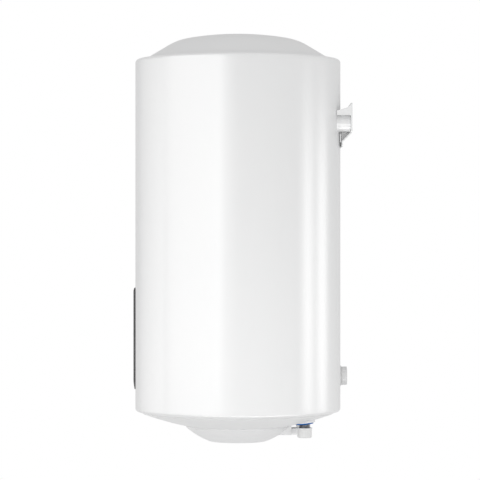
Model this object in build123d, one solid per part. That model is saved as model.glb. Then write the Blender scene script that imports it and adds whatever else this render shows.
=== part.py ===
"""Wall-hung round storage water heater, built as separate named pieces.

Frame: millimetres, +Z up, +Y into the wall, the wall plane at y = 0 and the hook slots at z = 0.
Every piece is written as one STEP file in parts/.
"""

import os
from math import cos, pi, radians, sin, sqrt, tan

from build123d import *

# Casing
CASING_RADIUS = 192.5
CASING_HEIGHT = 659.0
RIM_RADIUS = 5.5
JACKET_WALL = 0.8
SEAM_WIDTH = 8.0
SEAM_HEIGHT = 0.8
SEAM_ANGLE = 125.0
SEAM_END_MARGIN = 19.0
WALL_GAP = 20.0
HOOK_BELOW_RIM = 92.4

# Clearances
GAP = 0.3
FIT = 0.1
FOAM_GAP = 0.5
ROUND_EDGE = 1.2

# Plain values
UPRIGHT = 90.0
CUTTER_SPAN = 4

# Top cover
COVER_WALL = 2.2
RIM_TURN_IN = 17.0
DOME_RISE = 47.6
DOME_SLOPE = 31.0
DOME_CROWN_RADIUS = 560.0
DOME_KNUCKLE = 95.0
COVER_FLANGE = 6.0

# Bottom cover and service cover
DISH_INSET = 13.5
DISH_LIP_DROP = 3.8
DISH_BULGE = 1.7
BOWL_RADIUS = 97.0
BOWL_LIP_DROP = 27.0
BOWL_BAND_HEIGHT = 3.2
BOWL_FLOOR_RADIUS = 53.0
BOWL_FLOOR_DROP = 56.5
BOWL_BULGE = 2.4
BOWL_EDGE_ROUND = 12.0
BOWL_SEAT_DEPTH = 3.0
SEAT_LEDGE = 13.0
DISH_FLANGE = 3.0
SNOUT_PROUD = 3.0
SNOUT_HALF_WIDTH = 22.0
SNOUT_DRAFT = 22.0
SNOUT_DROP = 44.0
CLAMP_LENGTH = 16.0
CLAMP_HALF_WIDTH = 16.0
CLAMP_HEIGHT = 12.6
CLAMP_CORNER = 2.4
CABLE_HOLE_RADIUS = 4.2
CABLE_HOLE_MARGIN = 1.0

# Tank
FOAM_THICKNESS = 20.2
TANK_WALL = 2.0
TOP_HEAD_RISE = 21.0
TOP_HEAD_CROWN = 520.0
TOP_HEAD_KNUCKLE = 35.0
BOTTOM_HEAD_DROP = 8.0
BOTTOM_HEAD_CROWN = 640.0
BOTTOM_HEAD_KNUCKLE = 30.0
SERVICE_SPACE_MARGIN = 4.0

# Flange with what it carries
NECK_RADIUS = 40.0
NECK_WALL = 4.0
NECK_TOP_RISE = 6.0
RING_RADIUS = 58.0
RING_THICKNESS = 7.0
RING_BELOW_HEAD = 3.0
GASKET_THICKNESS = 3.0
PLATE_THICKNESS = 4.0
STUD_COUNT = 5
STUD_CIRCLE_RADIUS = 49.0
STUD_RADIUS = 4.0
STUD_PROUD = 11.0
NUT_ACROSS_FLATS = 13.0
NUT_HEIGHT = 6.5
ELEMENT_RADIUS = 4.0
ELEMENT_HALF_SPREAD = 18.0
ELEMENT_HEIGHT = 280.0
TERMINAL_LENGTH = 12.0
TERMINAL_WIDTH = 6.3
TERMINAL_THICKNESS = 0.8
ANODE_RADIUS = 9.0
ANODE_LENGTH = 220.0
ANODE_FORWARD = 14.0
ANODE_STUD_RADIUS = 3.0
ANODE_STUD_PROUD = 9.0
ANODE_NUT_ACROSS_FLATS = 10.0
ANODE_NUT_HEIGHT = 5.0
SHEATH_RADIUS = 4.5
SHEATH_WALL = 0.8
SHEATH_LENGTH = 240.0
SHEATH_BACK = 18.0
PROBE_RADIUS = 3.2
PROBE_SHORTER = 12.0
CUTOUT_WIDTH = 32.0
CUTOUT_DEPTH = 18.0
CUTOUT_HEIGHT = 17.0
CUTOUT_BACK = 24.0
RESET_RADIUS = 3.0
RESET_PROUD = 3.0
RESET_TRAVEL = 1.5
RESET_LENGTH = 9.0
RESET_EDGE_ROUND = 0.75
TERMINAL_BLOCK_WIDTH = 40.0
TERMINAL_BLOCK_DEPTH = 14.0
TERMINAL_BLOCK_HEIGHT = 14.0
TERMINAL_BLOCK_FORWARD = 26.0
TERMINAL_BLOCK_WAYS = 4
TERMINAL_WELL_RADIUS = 2.6
TERMINAL_WELL_DEPTH = 6.0
POST_RADIUS = 4.5
POST_SPREAD = 34.0
POST_FORWARD = 4.0
COVER_SCREW_RADIUS = 2.0
COVER_SCREW_HEAD_RADIUS = 4.0
COVER_SCREW_HEAD_HEIGHT = 2.0
COVER_SCREW_LENGTH = 14.0
DRIVE_SLOT_WIDTH = 1.0
DRIVE_SLOT_DEPTH = 0.8

# Water connections
PIPE_HALF_SPREAD = 50.0
PIPE_BACK = 124.0
THREAD_RADIUS = 10.4775
THREAD_PITCH = 1.814
THREAD_DEPTH = 1.0
THREAD_TURNS = 12
NIPPLE_RADIUS = 9.0
NIPPLE_BORE_RADIUS = 7.0
NIPPLE_TOP_RISE = 20.0
RING_DROP = 18.6
COLOUR_RING_RADIUS = 16.5
COLOUR_RING_THICKNESS = 2.4
RING_TILT = 5.5
PAD_MARGIN = 0.7
THREAD_START_BELOW_RING = 0.6
CAP_DROP = 27.8
CAP_HEIGHT = 18.6
CAP_RADIUS = 13.5
CAP_LIP_RADIUS = 14.4
CAP_LIP_HEIGHT = 2.6
CAP_FLOOR = 1.6
CAP_EDGE_ROUND = 2.4
RISER_WALL = 1.2
RISER_BELOW_RIM = 20.0
RISER_START_DROP = 10.0
DIFFUSER_WALL = 2.2
DIFFUSER_OVERLAP = 6.0
DIFFUSER_HEIGHT = 30.0
DIFFUSER_SLOT_WIDTH = 8.0
DIFFUSER_SLOT_HEIGHT = 12.0

# Wall bracket
BRACKET_HALF_WIDTH = 63.3
BRACKET_SHEET = 2.5
BRACKET_ABOVE_SLOT = 9.0
BRACKET_HEIGHT = 55.0
BRACKET_CORNER = 2.0
SLOT_SPACING = 52.0
SLOT_LENGTH = 20.0
SLOT_RADIUS = 4.25
LEG_HALF_WIDTH = 45.0
TAB_BEHIND_CASING = 0.6
TAB_HEIGHT = 9.0
LEG_SLOPE = 45.0
LUG_TOP_DROP = 0.5
LUG_SHOULDER = 8.0
LUG_FALL = 17.0
LUG_ABOVE_BUSH = 0.5
WEB_HALF_SPREAD = 12.0
BUSH_RADIUS = 15.0
BUSH_HALF_SPREAD = 43.0
BUSH_BELOW_SLOT = 29.5
BRACKET_SCREW_RADIUS = 4.0
BRACKET_SCREW_HEAD_RADIUS = 7.4
BRACKET_SCREW_HEAD_HEIGHT = 2.2
BRACKET_SCREW_LENGTH = 26.0
HEX_KEY_FLATS = 4.5

# Rear spacer
SPACER_BELOW_MIDDLE = 263.5
SPACER_RADIUS = 17.2
SPACER_COLLAR_RADIUS = 19.2
SPACER_COLLAR_HEIGHT = 1.7
SPACER_REACH = 12.3
SPACER_DOME = 1.2
SPACER_SHANK_RADIUS = 6.0
SPACER_SHANK_LENGTH = 16.0
SPACER_BARREL_RADIUS = 11.0
SPACER_BARREL_DEPTH = 17.0

# Control strip
STRIP_TOP_BELOW_MIDDLE = 98.0
STRIP_HEIGHT = 190.0
STRIP_WIDTH = 40.0
STRIP_FRAME_THICKNESS = 2.1
STRIP_FACE_THICKNESS = 1.4
STRIP_TOP_BEVEL = 8.0
STRIP_BOTTOM_BEVEL = 22.0
STRIP_CORNER = 6.0
STRIP_TOP_EDGE = 1.2
STRIP_BOTTOM_EDGE = 0.6
BOX_WIDTH = 30.0
BOX_HEIGHT = 128.0
BOX_RAISED = 4.0
BOX_DEPTH = 15.5
BOX_WALL = 1.5
BOARD_THICKNESS = 1.6
BOARD_ABOVE_FLOOR = 3.0
LEDGE_WIDTH = 1.6
WINDOW_WIDTH = 22.0
WINDOW_HEIGHT = 36.0
WINDOW_RAISED = 40.0
WINDOW_CORNER = 3.0
MODULE_MARGIN = 1.5
LENS_RADIUS = 1.5
LENS_SPACING = 9.0
LENS_COUNT = 3
LENS_RAISED = 8.0
BUTTON_RADIUS = 5.5
BUTTON_SPACING = 18.0
BUTTON_ABOVE_BOX_END = 11.0
BUTTON_FLANGE = 1.6
BUTTON_FLANGE_THICKNESS = 1.2
BUTTON_STEM_RADIUS = 1.8
BUTTON_EDGE_ROUND = 0.3
SWITCH_SIZE = 6.5
SWITCH_HEIGHT = 3.6
SWITCH_BORE_DEPTH = 2.6
SWITCH_ENGAGEMENT = 0.8
STRIP_SCREW_RADIUS = 1.45
STRIP_SCREW_HEAD_RADIUS = 2.75
STRIP_SCREW_HEAD_HEIGHT = 1.1
STRIP_SCREW_LENGTH = 9.0
STRIP_SCREW_ABOVE_BOX = 8.0
STRIP_SCREW_BELOW_BOX = 7.0
LEAD_RADIUS = 2.5
LEAD_BEND = 8.0
LEAD_KNEE_RISE = 20.5
LEAD_TUCK = 16.0
LEAD_OPENING_MARGIN = 8.0
LEAD_FLANGE_MARGIN = 13.5
LEAD_DIP = 4.0

# Places that follow from the sizes above
AXIS_Y = -(WALL_GAP + CASING_RADIUS)
DOME_BASE_RADIUS = CASING_RADIUS - RIM_TURN_IN
DISH_LIP_RADIUS = CASING_RADIUS - DISH_INSET
TANK_RADIUS = CASING_RADIUS - JACKET_WALL - FOAM_THICKNESS
TOP_Z = HOOK_BELOW_RIM
BOTTOM_Z = TOP_Z - CASING_HEIGHT
MIDDLE_Z = (TOP_Z + BOTTOM_Z) / 2
DOME_APEX_Z = TOP_Z + DOME_RISE
SERVICE_SPACE_RADIUS = BOWL_RADIUS + SERVICE_SPACE_MARGIN
SERVICE_OPENING_RADIUS = BOWL_RADIUS - SEAT_LEDGE
SNOUT_BACK = BOWL_RADIUS + SNOUT_PROUD
BOWL_LIP_Z = BOTTOM_Z - BOWL_LIP_DROP
BOWL_BAND_Z = BOWL_LIP_Z - BOWL_BAND_HEIGHT
BOWL_FLOOR_Z = BOTTOM_Z - BOWL_FLOOR_DROP
BOWL_INSIDE_Z = BOWL_FLOOR_Z + COVER_WALL
SEAT_Z = BOWL_LIP_Z + BOWL_SEAT_DEPTH
TOP_HEAD_Z = TOP_Z + TOP_HEAD_RISE
BOTTOM_HEAD_Z = BOTTOM_Z - BOTTOM_HEAD_DROP
RING_TOP_Z = BOTTOM_HEAD_Z - RING_BELOW_HEAD
RING_BOTTOM_Z = RING_TOP_Z - RING_THICKNESS
GASKET_BOTTOM_Z = RING_BOTTOM_Z - GASKET_THICKNESS
PLATE_BOTTOM_Z = GASKET_BOTTOM_Z - PLATE_THICKNESS
BRACKET_TOP_Z = BRACKET_ABOVE_SLOT
BRACKET_BOTTOM_Z = BRACKET_TOP_Z - BRACKET_HEIGHT
SPACER_Z = MIDDLE_Z - SPACER_BELOW_MIDDLE
STRIP_Z = MIDDLE_Z - STRIP_TOP_BELOW_MIDDLE - STRIP_HEIGHT / 2
STRIP_BACK_RADIUS = CASING_RADIUS + GAP
STRIP_SPLIT_RADIUS = STRIP_BACK_RADIUS + STRIP_FRAME_THICKNESS
STRIP_FRONT_RADIUS = STRIP_SPLIT_RADIUS + STRIP_FACE_THICKNESS
BOX_BACK_RADIUS = CASING_RADIUS - BOX_DEPTH
BOX_Z = STRIP_Z + BOX_RAISED
BOX_LOW_Z = BOX_Z - BOX_HEIGHT / 2
BOX_HIGH_Z = BOX_Z + BOX_HEIGHT / 2
BOARD_BACK_RADIUS = BOX_BACK_RADIUS + BOX_WALL + BOARD_ABOVE_FLOOR
BOARD_FRONT_RADIUS = BOARD_BACK_RADIUS + BOARD_THICKNESS
WINDOW_Z = STRIP_Z + WINDOW_RAISED
PIPE_PLACES = {"cold": PIPE_HALF_SPREAD, "hot": -PIPE_HALF_SPREAD}
RING_Z = BOTTOM_Z - RING_DROP
THREAD_TOP_Z = RING_Z - COLOUR_RING_THICKNESS - THREAD_START_BELOW_RING
NIPPLE_END_Z = THREAD_TOP_Z - THREAD_TURNS * THREAD_PITCH
CAP_TOP_Z = BOTTOM_Z - CAP_DROP
BUTTON_NAMES = ("power", "minus", "plus")


def at_axis(x=0.0, y=0.0, z=0.0):
    """Place measured from the tank axis, with y growing toward the wall."""
    return Pos(x, AXIS_Y + y, z)


def lathe(*edges):
    """Solid turned about the tank axis from edges in the XZ plane."""
    return at_axis() * revolve(make_face(edges), axis=Axis.Z)


def lathe_points(points, radii=0.0, close=True):
    """Closed outline in the XZ plane through (radius, height) points, with corner radii."""
    corners = [(r, 0, z) for r, z in points]
    if radii:
        return FilletPolyline(*corners, radius=radii, close=close)
    return Polyline(*corners, close=close)


def path(points):
    """Open run of straight edges through (radius, height) points."""
    return Polyline(*[(r, 0, z) for r, z in points])


def drum(radius, low, high, x=0.0, y=0.0):
    """Upright cylinder between two heights, at a place measured from the tank axis."""
    height = high - low
    return at_axis(x, y, low + height / 2) * Cylinder(radius, height)


def rod_to_wall(radius, near, far, x=0.0, z=0.0):
    """Cylinder along Y between two distances from the tank axis."""
    length = far - near
    return at_axis(x, near + length / 2, z) * Rot(-90, 0, 0) * Cylinder(radius, length)


def rod_to_front(radius, near, far, x=0.0, z=0.0):
    """Cylinder along Y on the front side, between two distances from the tank axis."""
    return rod_to_wall(radius, -far, -near, x, z)


def block(x_size, y_low, y_high, z_low, z_high, x=0.0):
    """Box between limits, with y measured from the tank axis."""
    size_y = y_high - y_low
    size_z = z_high - z_low
    return at_axis(x, y_low + size_y / 2, z_low + size_z / 2) * Box(x_size, size_y, size_z)


def hex_nut(flats, bore, low, high, x, y):
    """Upright hexagon nut with a plain bore."""
    blank = extrude(RegularPolygon(flats / 2, 6, major_radius=False), high - low)
    return at_axis(x, y, low) * blank - drum(bore, low - GAP, high + GAP, x, y)


def drive_slot(head_radius, face_z, x, y):
    """Cutter for a straight driver slot in a head that faces down."""
    size = Box(2 * head_radius, DRIVE_SLOT_WIDTH, 2 * DRIVE_SLOT_DEPTH)
    return at_axis(x, y, face_z) * size


def arc_about(centre, start, end):
    """Arc in the XZ plane about a centre, taken the short way from start to end."""
    radius = sqrt((start[0] - centre[0]) ** 2 + (start[1] - centre[1]) ** 2)
    mid_r = (start[0] + end[0]) / 2 - centre[0]
    mid_z = (start[1] + end[1]) / 2 - centre[1]
    stretch = radius / sqrt(mid_r**2 + mid_z**2)
    middle = (centre[0] + mid_r * stretch, 0, centre[1] + mid_z * stretch)
    return ThreePointArc((start[0], 0, start[1]), middle, (end[0], 0, end[1]))


def crown_places(apex, crown, knuckle, slope, base_radius, base_z):
    """Centres and tangent points of a crown, knuckle and straight flank, for an upward dome."""
    lean = radians(slope)
    crown_z = apex - crown
    reach = base_radius * sin(lean) + base_z * cos(lean)
    level = reach - knuckle - crown_z * cos(lean)
    along = -crown_z * sin(lean) - sqrt((crown - knuckle) ** 2 - level**2)
    centre_r = sin(lean) * (reach - knuckle) + cos(lean) * along
    centre_z = cos(lean) * (reach - knuckle) - sin(lean) * along
    flank = (centre_r + sin(lean) * knuckle, centre_z + cos(lean) * knuckle)
    scale = crown / (crown - knuckle)
    shoulder = (centre_r * scale, crown_z + (centre_z - crown_z) * scale)
    return (0.0, crown_z), (centre_r, centre_z), shoulder, flank


def shifted(point, rise):
    """A profile point moved up or down."""
    return (point[0], point[1] + rise)


def dome_curve(rise):
    """Crown and knuckle edges of the top cover, moved up or down, with the flank's first point."""
    places = crown_places(
        DOME_APEX_Z, DOME_CROWN_RADIUS, DOME_KNUCKLE, DOME_SLOPE, DOME_BASE_RADIUS, TOP_Z
    )
    crown, knuckle, shoulder, flank = [shifted(place, rise) for place in places]
    apex = (0.0, DOME_APEX_Z + rise)
    return [arc_about(crown, apex, shoulder), arc_about(knuckle, shoulder, flank)], flank


def dome_height(radius):
    """Height of the straight flank of the top cover at a radius."""
    return TOP_Z + (DOME_BASE_RADIUS - radius) * tan(radians(DOME_SLOPE))


def bulge_curve(start, end, bulge):
    """Arc in the XZ plane between two profile points with a sagitta, bulging downward."""
    run = end[0] - start[0]
    fall = end[1] - start[1]
    chord = sqrt(run**2 + fall**2)
    side = -1.0 if run > 0 else 1.0
    middle_r = (start[0] + end[0]) / 2 - side * fall / chord * bulge
    middle_z = (start[1] + end[1]) / 2 + side * run / chord * bulge
    return ThreePointArc((start[0], 0, start[1]), (middle_r, 0, middle_z), (end[0], 0, end[1]))


def dish_ends(rise, inset):
    """Outer and inner end points of the dish surface, moved up and drawn in by the inset."""
    fall = (BOWL_LIP_DROP - DISH_LIP_DROP) / (DISH_LIP_RADIUS - BOWL_RADIUS)
    outer = (DISH_LIP_RADIUS - inset, BOTTOM_Z - DISH_LIP_DROP - fall * inset + rise)
    inner = (BOWL_RADIUS + GAP + inset, BOWL_LIP_Z + fall * inset + rise)
    return outer, inner


def head_shape(apex, crown, knuckle, radius):
    """Solid of revolution under a dished head, down to where it meets the straight shell."""
    crown_place, knuckle_place, shoulder, flank = crown_places(apex, crown, knuckle, UPRIGHT, radius, 0.0)
    edges = [
        arc_about(crown_place, (0.0, apex), shoulder),
        arc_about(knuckle_place, shoulder, flank),
        path([flank, (0.0, flank[1]), (0.0, apex)]),
    ]
    return lathe(*edges)


def head_line(apex, crown, knuckle, radius):
    """Height where the dished head meets the straight shell."""
    return crown_places(apex, crown, knuckle, UPRIGHT, radius, 0.0)[1][1]


TOP_LINE_Z = head_line(TOP_HEAD_Z, TOP_HEAD_CROWN, TOP_HEAD_KNUCKLE, TANK_RADIUS)
BOTTOM_LINE_Z = -head_line(-BOTTOM_HEAD_Z, BOTTOM_HEAD_CROWN, BOTTOM_HEAD_KNUCKLE, TANK_RADIUS)


def top_head_body(inset):
    """Filled top of the tank, inset from its outer surface."""
    return head_shape(
        TOP_HEAD_Z - inset,
        TOP_HEAD_CROWN - inset,
        TOP_HEAD_KNUCKLE - inset,
        TANK_RADIUS - inset,
    )


def bottom_head_body(inset):
    """Filled bottom of the tank, inset from its outer surface."""
    upward = head_shape(
        -(BOTTOM_HEAD_Z + inset),
        BOTTOM_HEAD_CROWN - inset,
        BOTTOM_HEAD_KNUCKLE - inset,
        TANK_RADIUS - inset,
    )
    return mirror(upward, about=Plane.XY)


def tank_body(inset):
    """Filled tank, inset from its outer surface."""
    middle = drum(TANK_RADIUS - inset, BOTTOM_LINE_Z, TOP_LINE_Z)
    return middle + top_head_body(inset) + bottom_head_body(inset)


def box_envelope(margin):
    """Outline of the control box, grown by a margin, open to the front."""
    return block(
        BOX_WIDTH + 2 * margin,
        -STRIP_FRONT_RADIUS,
        -(BOX_BACK_RADIUS - margin),
        BOX_LOW_Z - margin,
        BOX_HIGH_Z + margin,
    )


def strip_screw_heights():
    """Heights of the two strip screws."""
    return (BOX_HIGH_Z + STRIP_SCREW_ABOVE_BOX, BOX_LOW_Z - STRIP_SCREW_BELOW_BOX)


def seam_strip():
    """Folded seam that runs down the back of the jacket, away from the photographed side."""
    length = CASING_HEIGHT - 2 * SEAM_END_MARGIN
    strip = Box(SEAM_WIDTH, 2 * SEAM_HEIGHT, length)
    placed = Pos(0, CASING_RADIUS, MIDDLE_Z) * strip
    return at_axis() * Rot(0, 0, SEAM_ANGLE - UPRIGHT) * placed


def casing_jacket():
    """Painted sheet jacket with rolled rims, a seam and the openings for what passes through it."""
    inside = CASING_RADIUS - JACKET_WALL
    bend = RIM_RADIUS - JACKET_WALL
    outline = [
        (DISH_LIP_RADIUS + GAP, BOTTOM_Z),
        (CASING_RADIUS, BOTTOM_Z),
        (CASING_RADIUS, TOP_Z),
        (DOME_BASE_RADIUS + GAP, TOP_Z),
        (DOME_BASE_RADIUS + GAP, TOP_Z - JACKET_WALL),
        (inside, TOP_Z - JACKET_WALL),
        (inside, BOTTOM_Z + JACKET_WALL),
        (DISH_LIP_RADIUS + GAP, BOTTOM_Z + JACKET_WALL),
    ]
    radii = [0, RIM_RADIUS, RIM_RADIUS, 0, 0, bend, bend, 0]
    shell = lathe(lathe_points(outline, radii))
    seam = seam_strip() - drum(inside, BOTTOM_Z, TOP_Z)
    shell = shell + seam
    shell -= box_envelope(GAP)
    for side in (-1, 1):
        shell -= rod_to_wall(
            BUSH_RADIUS + GAP, 0.0, CASING_RADIUS + RIM_RADIUS, side * BUSH_HALF_SPREAD, -BUSH_BELOW_SLOT
        )
    shell -= rod_to_wall(SPACER_BARREL_RADIUS + GAP, 0.0, CASING_RADIUS + RIM_RADIUS, 0.0, SPACER_Z)
    for height in strip_screw_heights():
        shell -= rod_to_front(STRIP_SCREW_RADIUS + GAP, 0.0, CASING_RADIUS + RIM_RADIUS, 0.0, height)
    return shell


def top_cover():
    """Moulded domed cover, held by its flange under the rolled rim."""
    outer_curve, outer_flank = dome_curve(0.0)
    inner_curve, inner_flank = dome_curve(-COVER_WALL)
    flange_top = TOP_Z - JACKET_WALL - FIT
    flange_low = flange_top - COVER_WALL
    inside = DOME_BASE_RADIUS - COVER_WALL
    flange_edge = DOME_BASE_RADIUS + COVER_FLANGE
    skirt = path(
        [
            outer_flank,
            (DOME_BASE_RADIUS, TOP_Z),
            (DOME_BASE_RADIUS, flange_top),
            (flange_edge, flange_top),
            (flange_edge, flange_low),
            (inside, flange_low),
            (inside, dome_height(inside) - COVER_WALL),
            inner_flank,
        ]
    )
    middle = path([(0.0, DOME_APEX_Z - COVER_WALL), (0.0, DOME_APEX_Z)])
    return lathe(*outer_curve, skirt, *inner_curve, middle)


def above_dish(drop):
    """Everything over the outer surface of the bottom cover, moved down by a clearance."""
    outer, inner = dish_ends(-drop, 0.0)
    curve = bulge_curve(outer, inner, DISH_BULGE)
    walls = path([inner, (0.0, inner[1]), (0.0, MIDDLE_Z), (DISH_LIP_RADIUS, MIDDLE_Z), outer])
    return lathe(curve, walls)


def tilted_slab(x, low, high):
    """Thick slab parallel to the tilted seat plane of one colour ring, between two offsets from it."""
    size = CUTTER_SPAN * COLOUR_RING_RADIUS
    slab = Pos(0, 0, (low + high) / 2) * Box(size, size, high - low)
    return at_axis(x, PIPE_BACK, RING_Z) * Rot(RING_TILT, 0, 0) * slab


def bottom_cover():
    """Moulded dish under the casing, with a seat for the service cover and pads for the pipes."""
    outer, inner = dish_ends(0.0, 0.0)
    inside_outer, inside_inner = dish_ends(COVER_WALL, COVER_WALL)
    flange_low = BOTTOM_Z + JACKET_WALL + FIT
    flange_top = flange_low + COVER_WALL
    flange_edge = DISH_LIP_RADIUS + DISH_FLANGE
    seat_top = SEAT_Z + COVER_WALL
    outside = bulge_curve(outer, inner, DISH_BULGE)
    seat = path(
        [
            inner,
            (inner[0], SEAT_Z),
            (SERVICE_OPENING_RADIUS, SEAT_Z),
            (SERVICE_OPENING_RADIUS, seat_top),
            (inside_inner[0], seat_top),
            inside_inner,
        ]
    )
    inside = bulge_curve(inside_inner, inside_outer, DISH_BULGE)
    rim = path(
        [
            inside_outer,
            (inside_outer[0], flange_top),
            (flange_edge, flange_top),
            (flange_edge, flange_low),
            (DISH_LIP_RADIUS, flange_low),
            outer,
        ]
    )
    cover = lathe(outside, seat, inside, rim)
    pad_radius = COLOUR_RING_RADIUS + PAD_MARGIN
    pad_height = 2 * pad_radius
    for x in PIPE_PLACES.values():
        pad = drum(pad_radius + COVER_WALL, RING_Z - pad_height, RING_Z + pad_height, x, PIPE_BACK)
        pad &= tilted_slab(x, -pad_height, COVER_WALL)
        recess = drum(pad_radius, RING_Z - pad_height, RING_Z + pad_height, x, PIPE_BACK)
        recess &= tilted_slab(x, -pad_height, 0.0)
        pad &= above_dish(0.0) + tilted_slab(x, 0.0, COVER_WALL)
        skirt = drum(pad_radius + COVER_WALL, RING_Z - pad_height, RING_Z + pad_height, x, PIPE_BACK)
        skirt -= drum(pad_radius, RING_Z - pad_height, RING_Z + pad_height, x, PIPE_BACK)
        skirt &= tilted_slab(x, 0.0, pad_height)
        cover = cover + pad + (skirt - above_dish(-COVER_WALL / 2))
        cover -= recess
        cover -= drum(THREAD_RADIUS + GAP, RING_Z - pad_height, RING_Z + pad_height, x, PIPE_BACK)
    return cover


def snout_shape(inset):
    """Drafted duct that runs from the service cover toward the wall, inset from its outer surface."""
    low = BOTTOM_Z - SNOUT_DROP + inset
    high = BOTTOM_Z
    spread = (high - low) * tan(radians(SNOUT_DRAFT))
    half = SNOUT_HALF_WIDTH - inset
    outline = Polyline(
        (-half, 0, low), (half, 0, low), (half + spread, 0, high), (-half - spread, 0, high), close=True
    )
    front = BOWL_FLOOR_RADIUS
    prism = extrude(make_face(outline), amount=SNOUT_BACK - front, dir=(0, 1, 0))
    return at_axis(0, front, 0) * prism


def bowl_inside():
    """Filled inside of the service cover bowl."""
    lip = (BOWL_RADIUS - COVER_WALL, BOWL_BAND_Z + COVER_WALL)
    floor = (BOWL_FLOOR_RADIUS, BOWL_INSIDE_Z)
    top = SEAT_Z + COVER_WALL
    curve = bulge_curve(lip, floor, BOWL_BULGE)
    return lathe(curve, path([floor, (0.0, BOWL_INSIDE_Z), (0.0, top), (lip[0], top), lip]))


def bowl_outside():
    """Filled outside of the service cover bowl, with its floor edge rounded."""
    lip = (BOWL_RADIUS, BOWL_BAND_Z)
    floor = (BOWL_FLOOR_RADIUS, BOWL_FLOOR_Z)
    top = SEAT_Z - FIT
    curve = bulge_curve(lip, floor, BOWL_BULGE)
    body = lathe(curve, path([floor, (0.0, BOWL_FLOOR_Z), (0.0, top), (BOWL_RADIUS, top), lip]))
    edge = body.edges().filter_by(GeomType.CIRCLE).sort_by(Axis.Z)[0]
    return fillet(edge, BOWL_EDGE_ROUND)


def service_cover():
    """Removable bowl with a cable duct, fixed by two countersunk screws."""
    duct = snout_shape(0.0) - above_dish(GAP)
    hollow = bowl_inside()
    duct_hollow = snout_shape(COVER_WALL) - above_dish(GAP + COVER_WALL)
    back_wall = SNOUT_BACK - COVER_WALL
    duct_hollow &= block(CUTTER_SPAN * BOWL_RADIUS, 0.0, back_wall, BOWL_FLOOR_Z, BOTTOM_Z)
    cover = bowl_outside() + duct
    cover -= hollow
    cover -= duct_hollow
    cable_way = CABLE_HOLE_RADIUS + CABLE_HOLE_MARGIN
    cover -= rod_to_wall(cable_way, BOWL_FLOOR_RADIUS, SNOUT_BACK + GAP, 0.0, clamp_middle_z())
    for x, y in post_places():
        cover -= drum(COVER_SCREW_RADIUS + GAP, BOWL_FLOOR_Z - GAP, BOWL_INSIDE_Z + GAP, x, y)
        sink = COVER_SCREW_HEAD_HEIGHT + FIT
        cone = Cone(COVER_SCREW_HEAD_RADIUS + FIT, COVER_SCREW_RADIUS + FIT, sink)
        cover -= at_axis(x, y, BOWL_FLOOR_Z + sink / 2) * cone
    return cover


def post_places():
    """Places of the two posts that carry the service cover."""
    return [(side * POST_SPREAD, -POST_FORWARD) for side in (-1, 1)]


def service_cover_screws():
    """Two countersunk screws, heads flush with the bowl's floor."""
    screws = []
    for x, y in post_places():
        cone = Cone(COVER_SCREW_HEAD_RADIUS, COVER_SCREW_RADIUS, COVER_SCREW_HEAD_HEIGHT)
        head = at_axis(x, y, BOWL_FLOOR_Z + COVER_SCREW_HEAD_HEIGHT / 2) * cone
        shank = drum(COVER_SCREW_RADIUS, BOWL_FLOOR_Z + GAP, BOWL_FLOOR_Z + COVER_SCREW_LENGTH, x, y)
        screws.append(head + shank - drive_slot(COVER_SCREW_HEAD_RADIUS, BOWL_FLOOR_Z, x, y))
    return Compound(children=screws)


def cover_posts():
    """Two posts under the flange plate that the service cover screws into."""
    posts = []
    for x, y in post_places():
        post = drum(POST_RADIUS, BOWL_INSIDE_Z + FIT, PLATE_BOTTOM_Z, x, y)
        bore_top = BOWL_FLOOR_Z + COVER_SCREW_LENGTH + ROUND_EDGE
        posts.append(post - drum(COVER_SCREW_RADIUS + FIT, BOWL_INSIDE_Z, bore_top, x, y))
    return Compound(children=posts)


def clamp_middle_z():
    """Height of the middle of the cable clamp."""
    return BOTTOM_Z - SNOUT_DROP + CLAMP_HEIGHT / 2


def cable_clamp():
    """Block behind the duct that grips the mains cable."""
    low = clamp_middle_z() - CLAMP_HEIGHT / 2
    body = block(
        2 * CLAMP_HALF_WIDTH, SNOUT_BACK + FIT, SNOUT_BACK + CLAMP_LENGTH, low, low + CLAMP_HEIGHT
    )
    body = fillet(body.edges().filter_by(Axis.Y), CLAMP_CORNER)
    body -= above_dish(GAP)
    far = SNOUT_BACK + CLAMP_LENGTH + GAP
    return body - rod_to_wall(CABLE_HOLE_RADIUS, SNOUT_BACK, far, 0.0, clamp_middle_z())


def lead_line():
    """Centre line of the lead from the control box to the terminal block."""
    run = BOX_BACK_RADIUS + BOX_WALL + BOARD_ABOVE_FLOOR
    start = BOX_LOW_Z + BOX_WALL
    below = PLATE_BOTTOM_Z - TERMINAL_BLOCK_HEIGHT / 2
    turn = RING_RADIUS + LEAD_FLANGE_MARGIN
    block_face = TERMINAL_BLOCK_FORWARD + TERMINAL_BLOCK_DEPTH / 2 + FIT
    points = [
        (0, -run, start),
        (0, -run, BOTTOM_Z + LEAD_KNEE_RISE),
        (0, -TANK_RADIUS + LEAD_TUCK, BOTTOM_Z - LEAD_RADIUS),
        (0, -SERVICE_OPENING_RADIUS - LEAD_OPENING_MARGIN, RING_TOP_Z - LEAD_RADIUS),
        (0, -turn, RING_TOP_Z - LEAD_DIP),
        (0, -turn + LEAD_RADIUS, below),
        (0, -block_face, below),
    ]
    return FilletPolyline(*[(x, AXIS_Y + y, z) for x, y, z in points], radius=LEAD_BEND)


def lead_tube(radius):
    """Round tube along the lead's centre line."""
    line = lead_line()
    section = Plane(line @ 0, z_dir=line % 0) * Circle(radius)
    return sweep(section, path=line)


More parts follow.
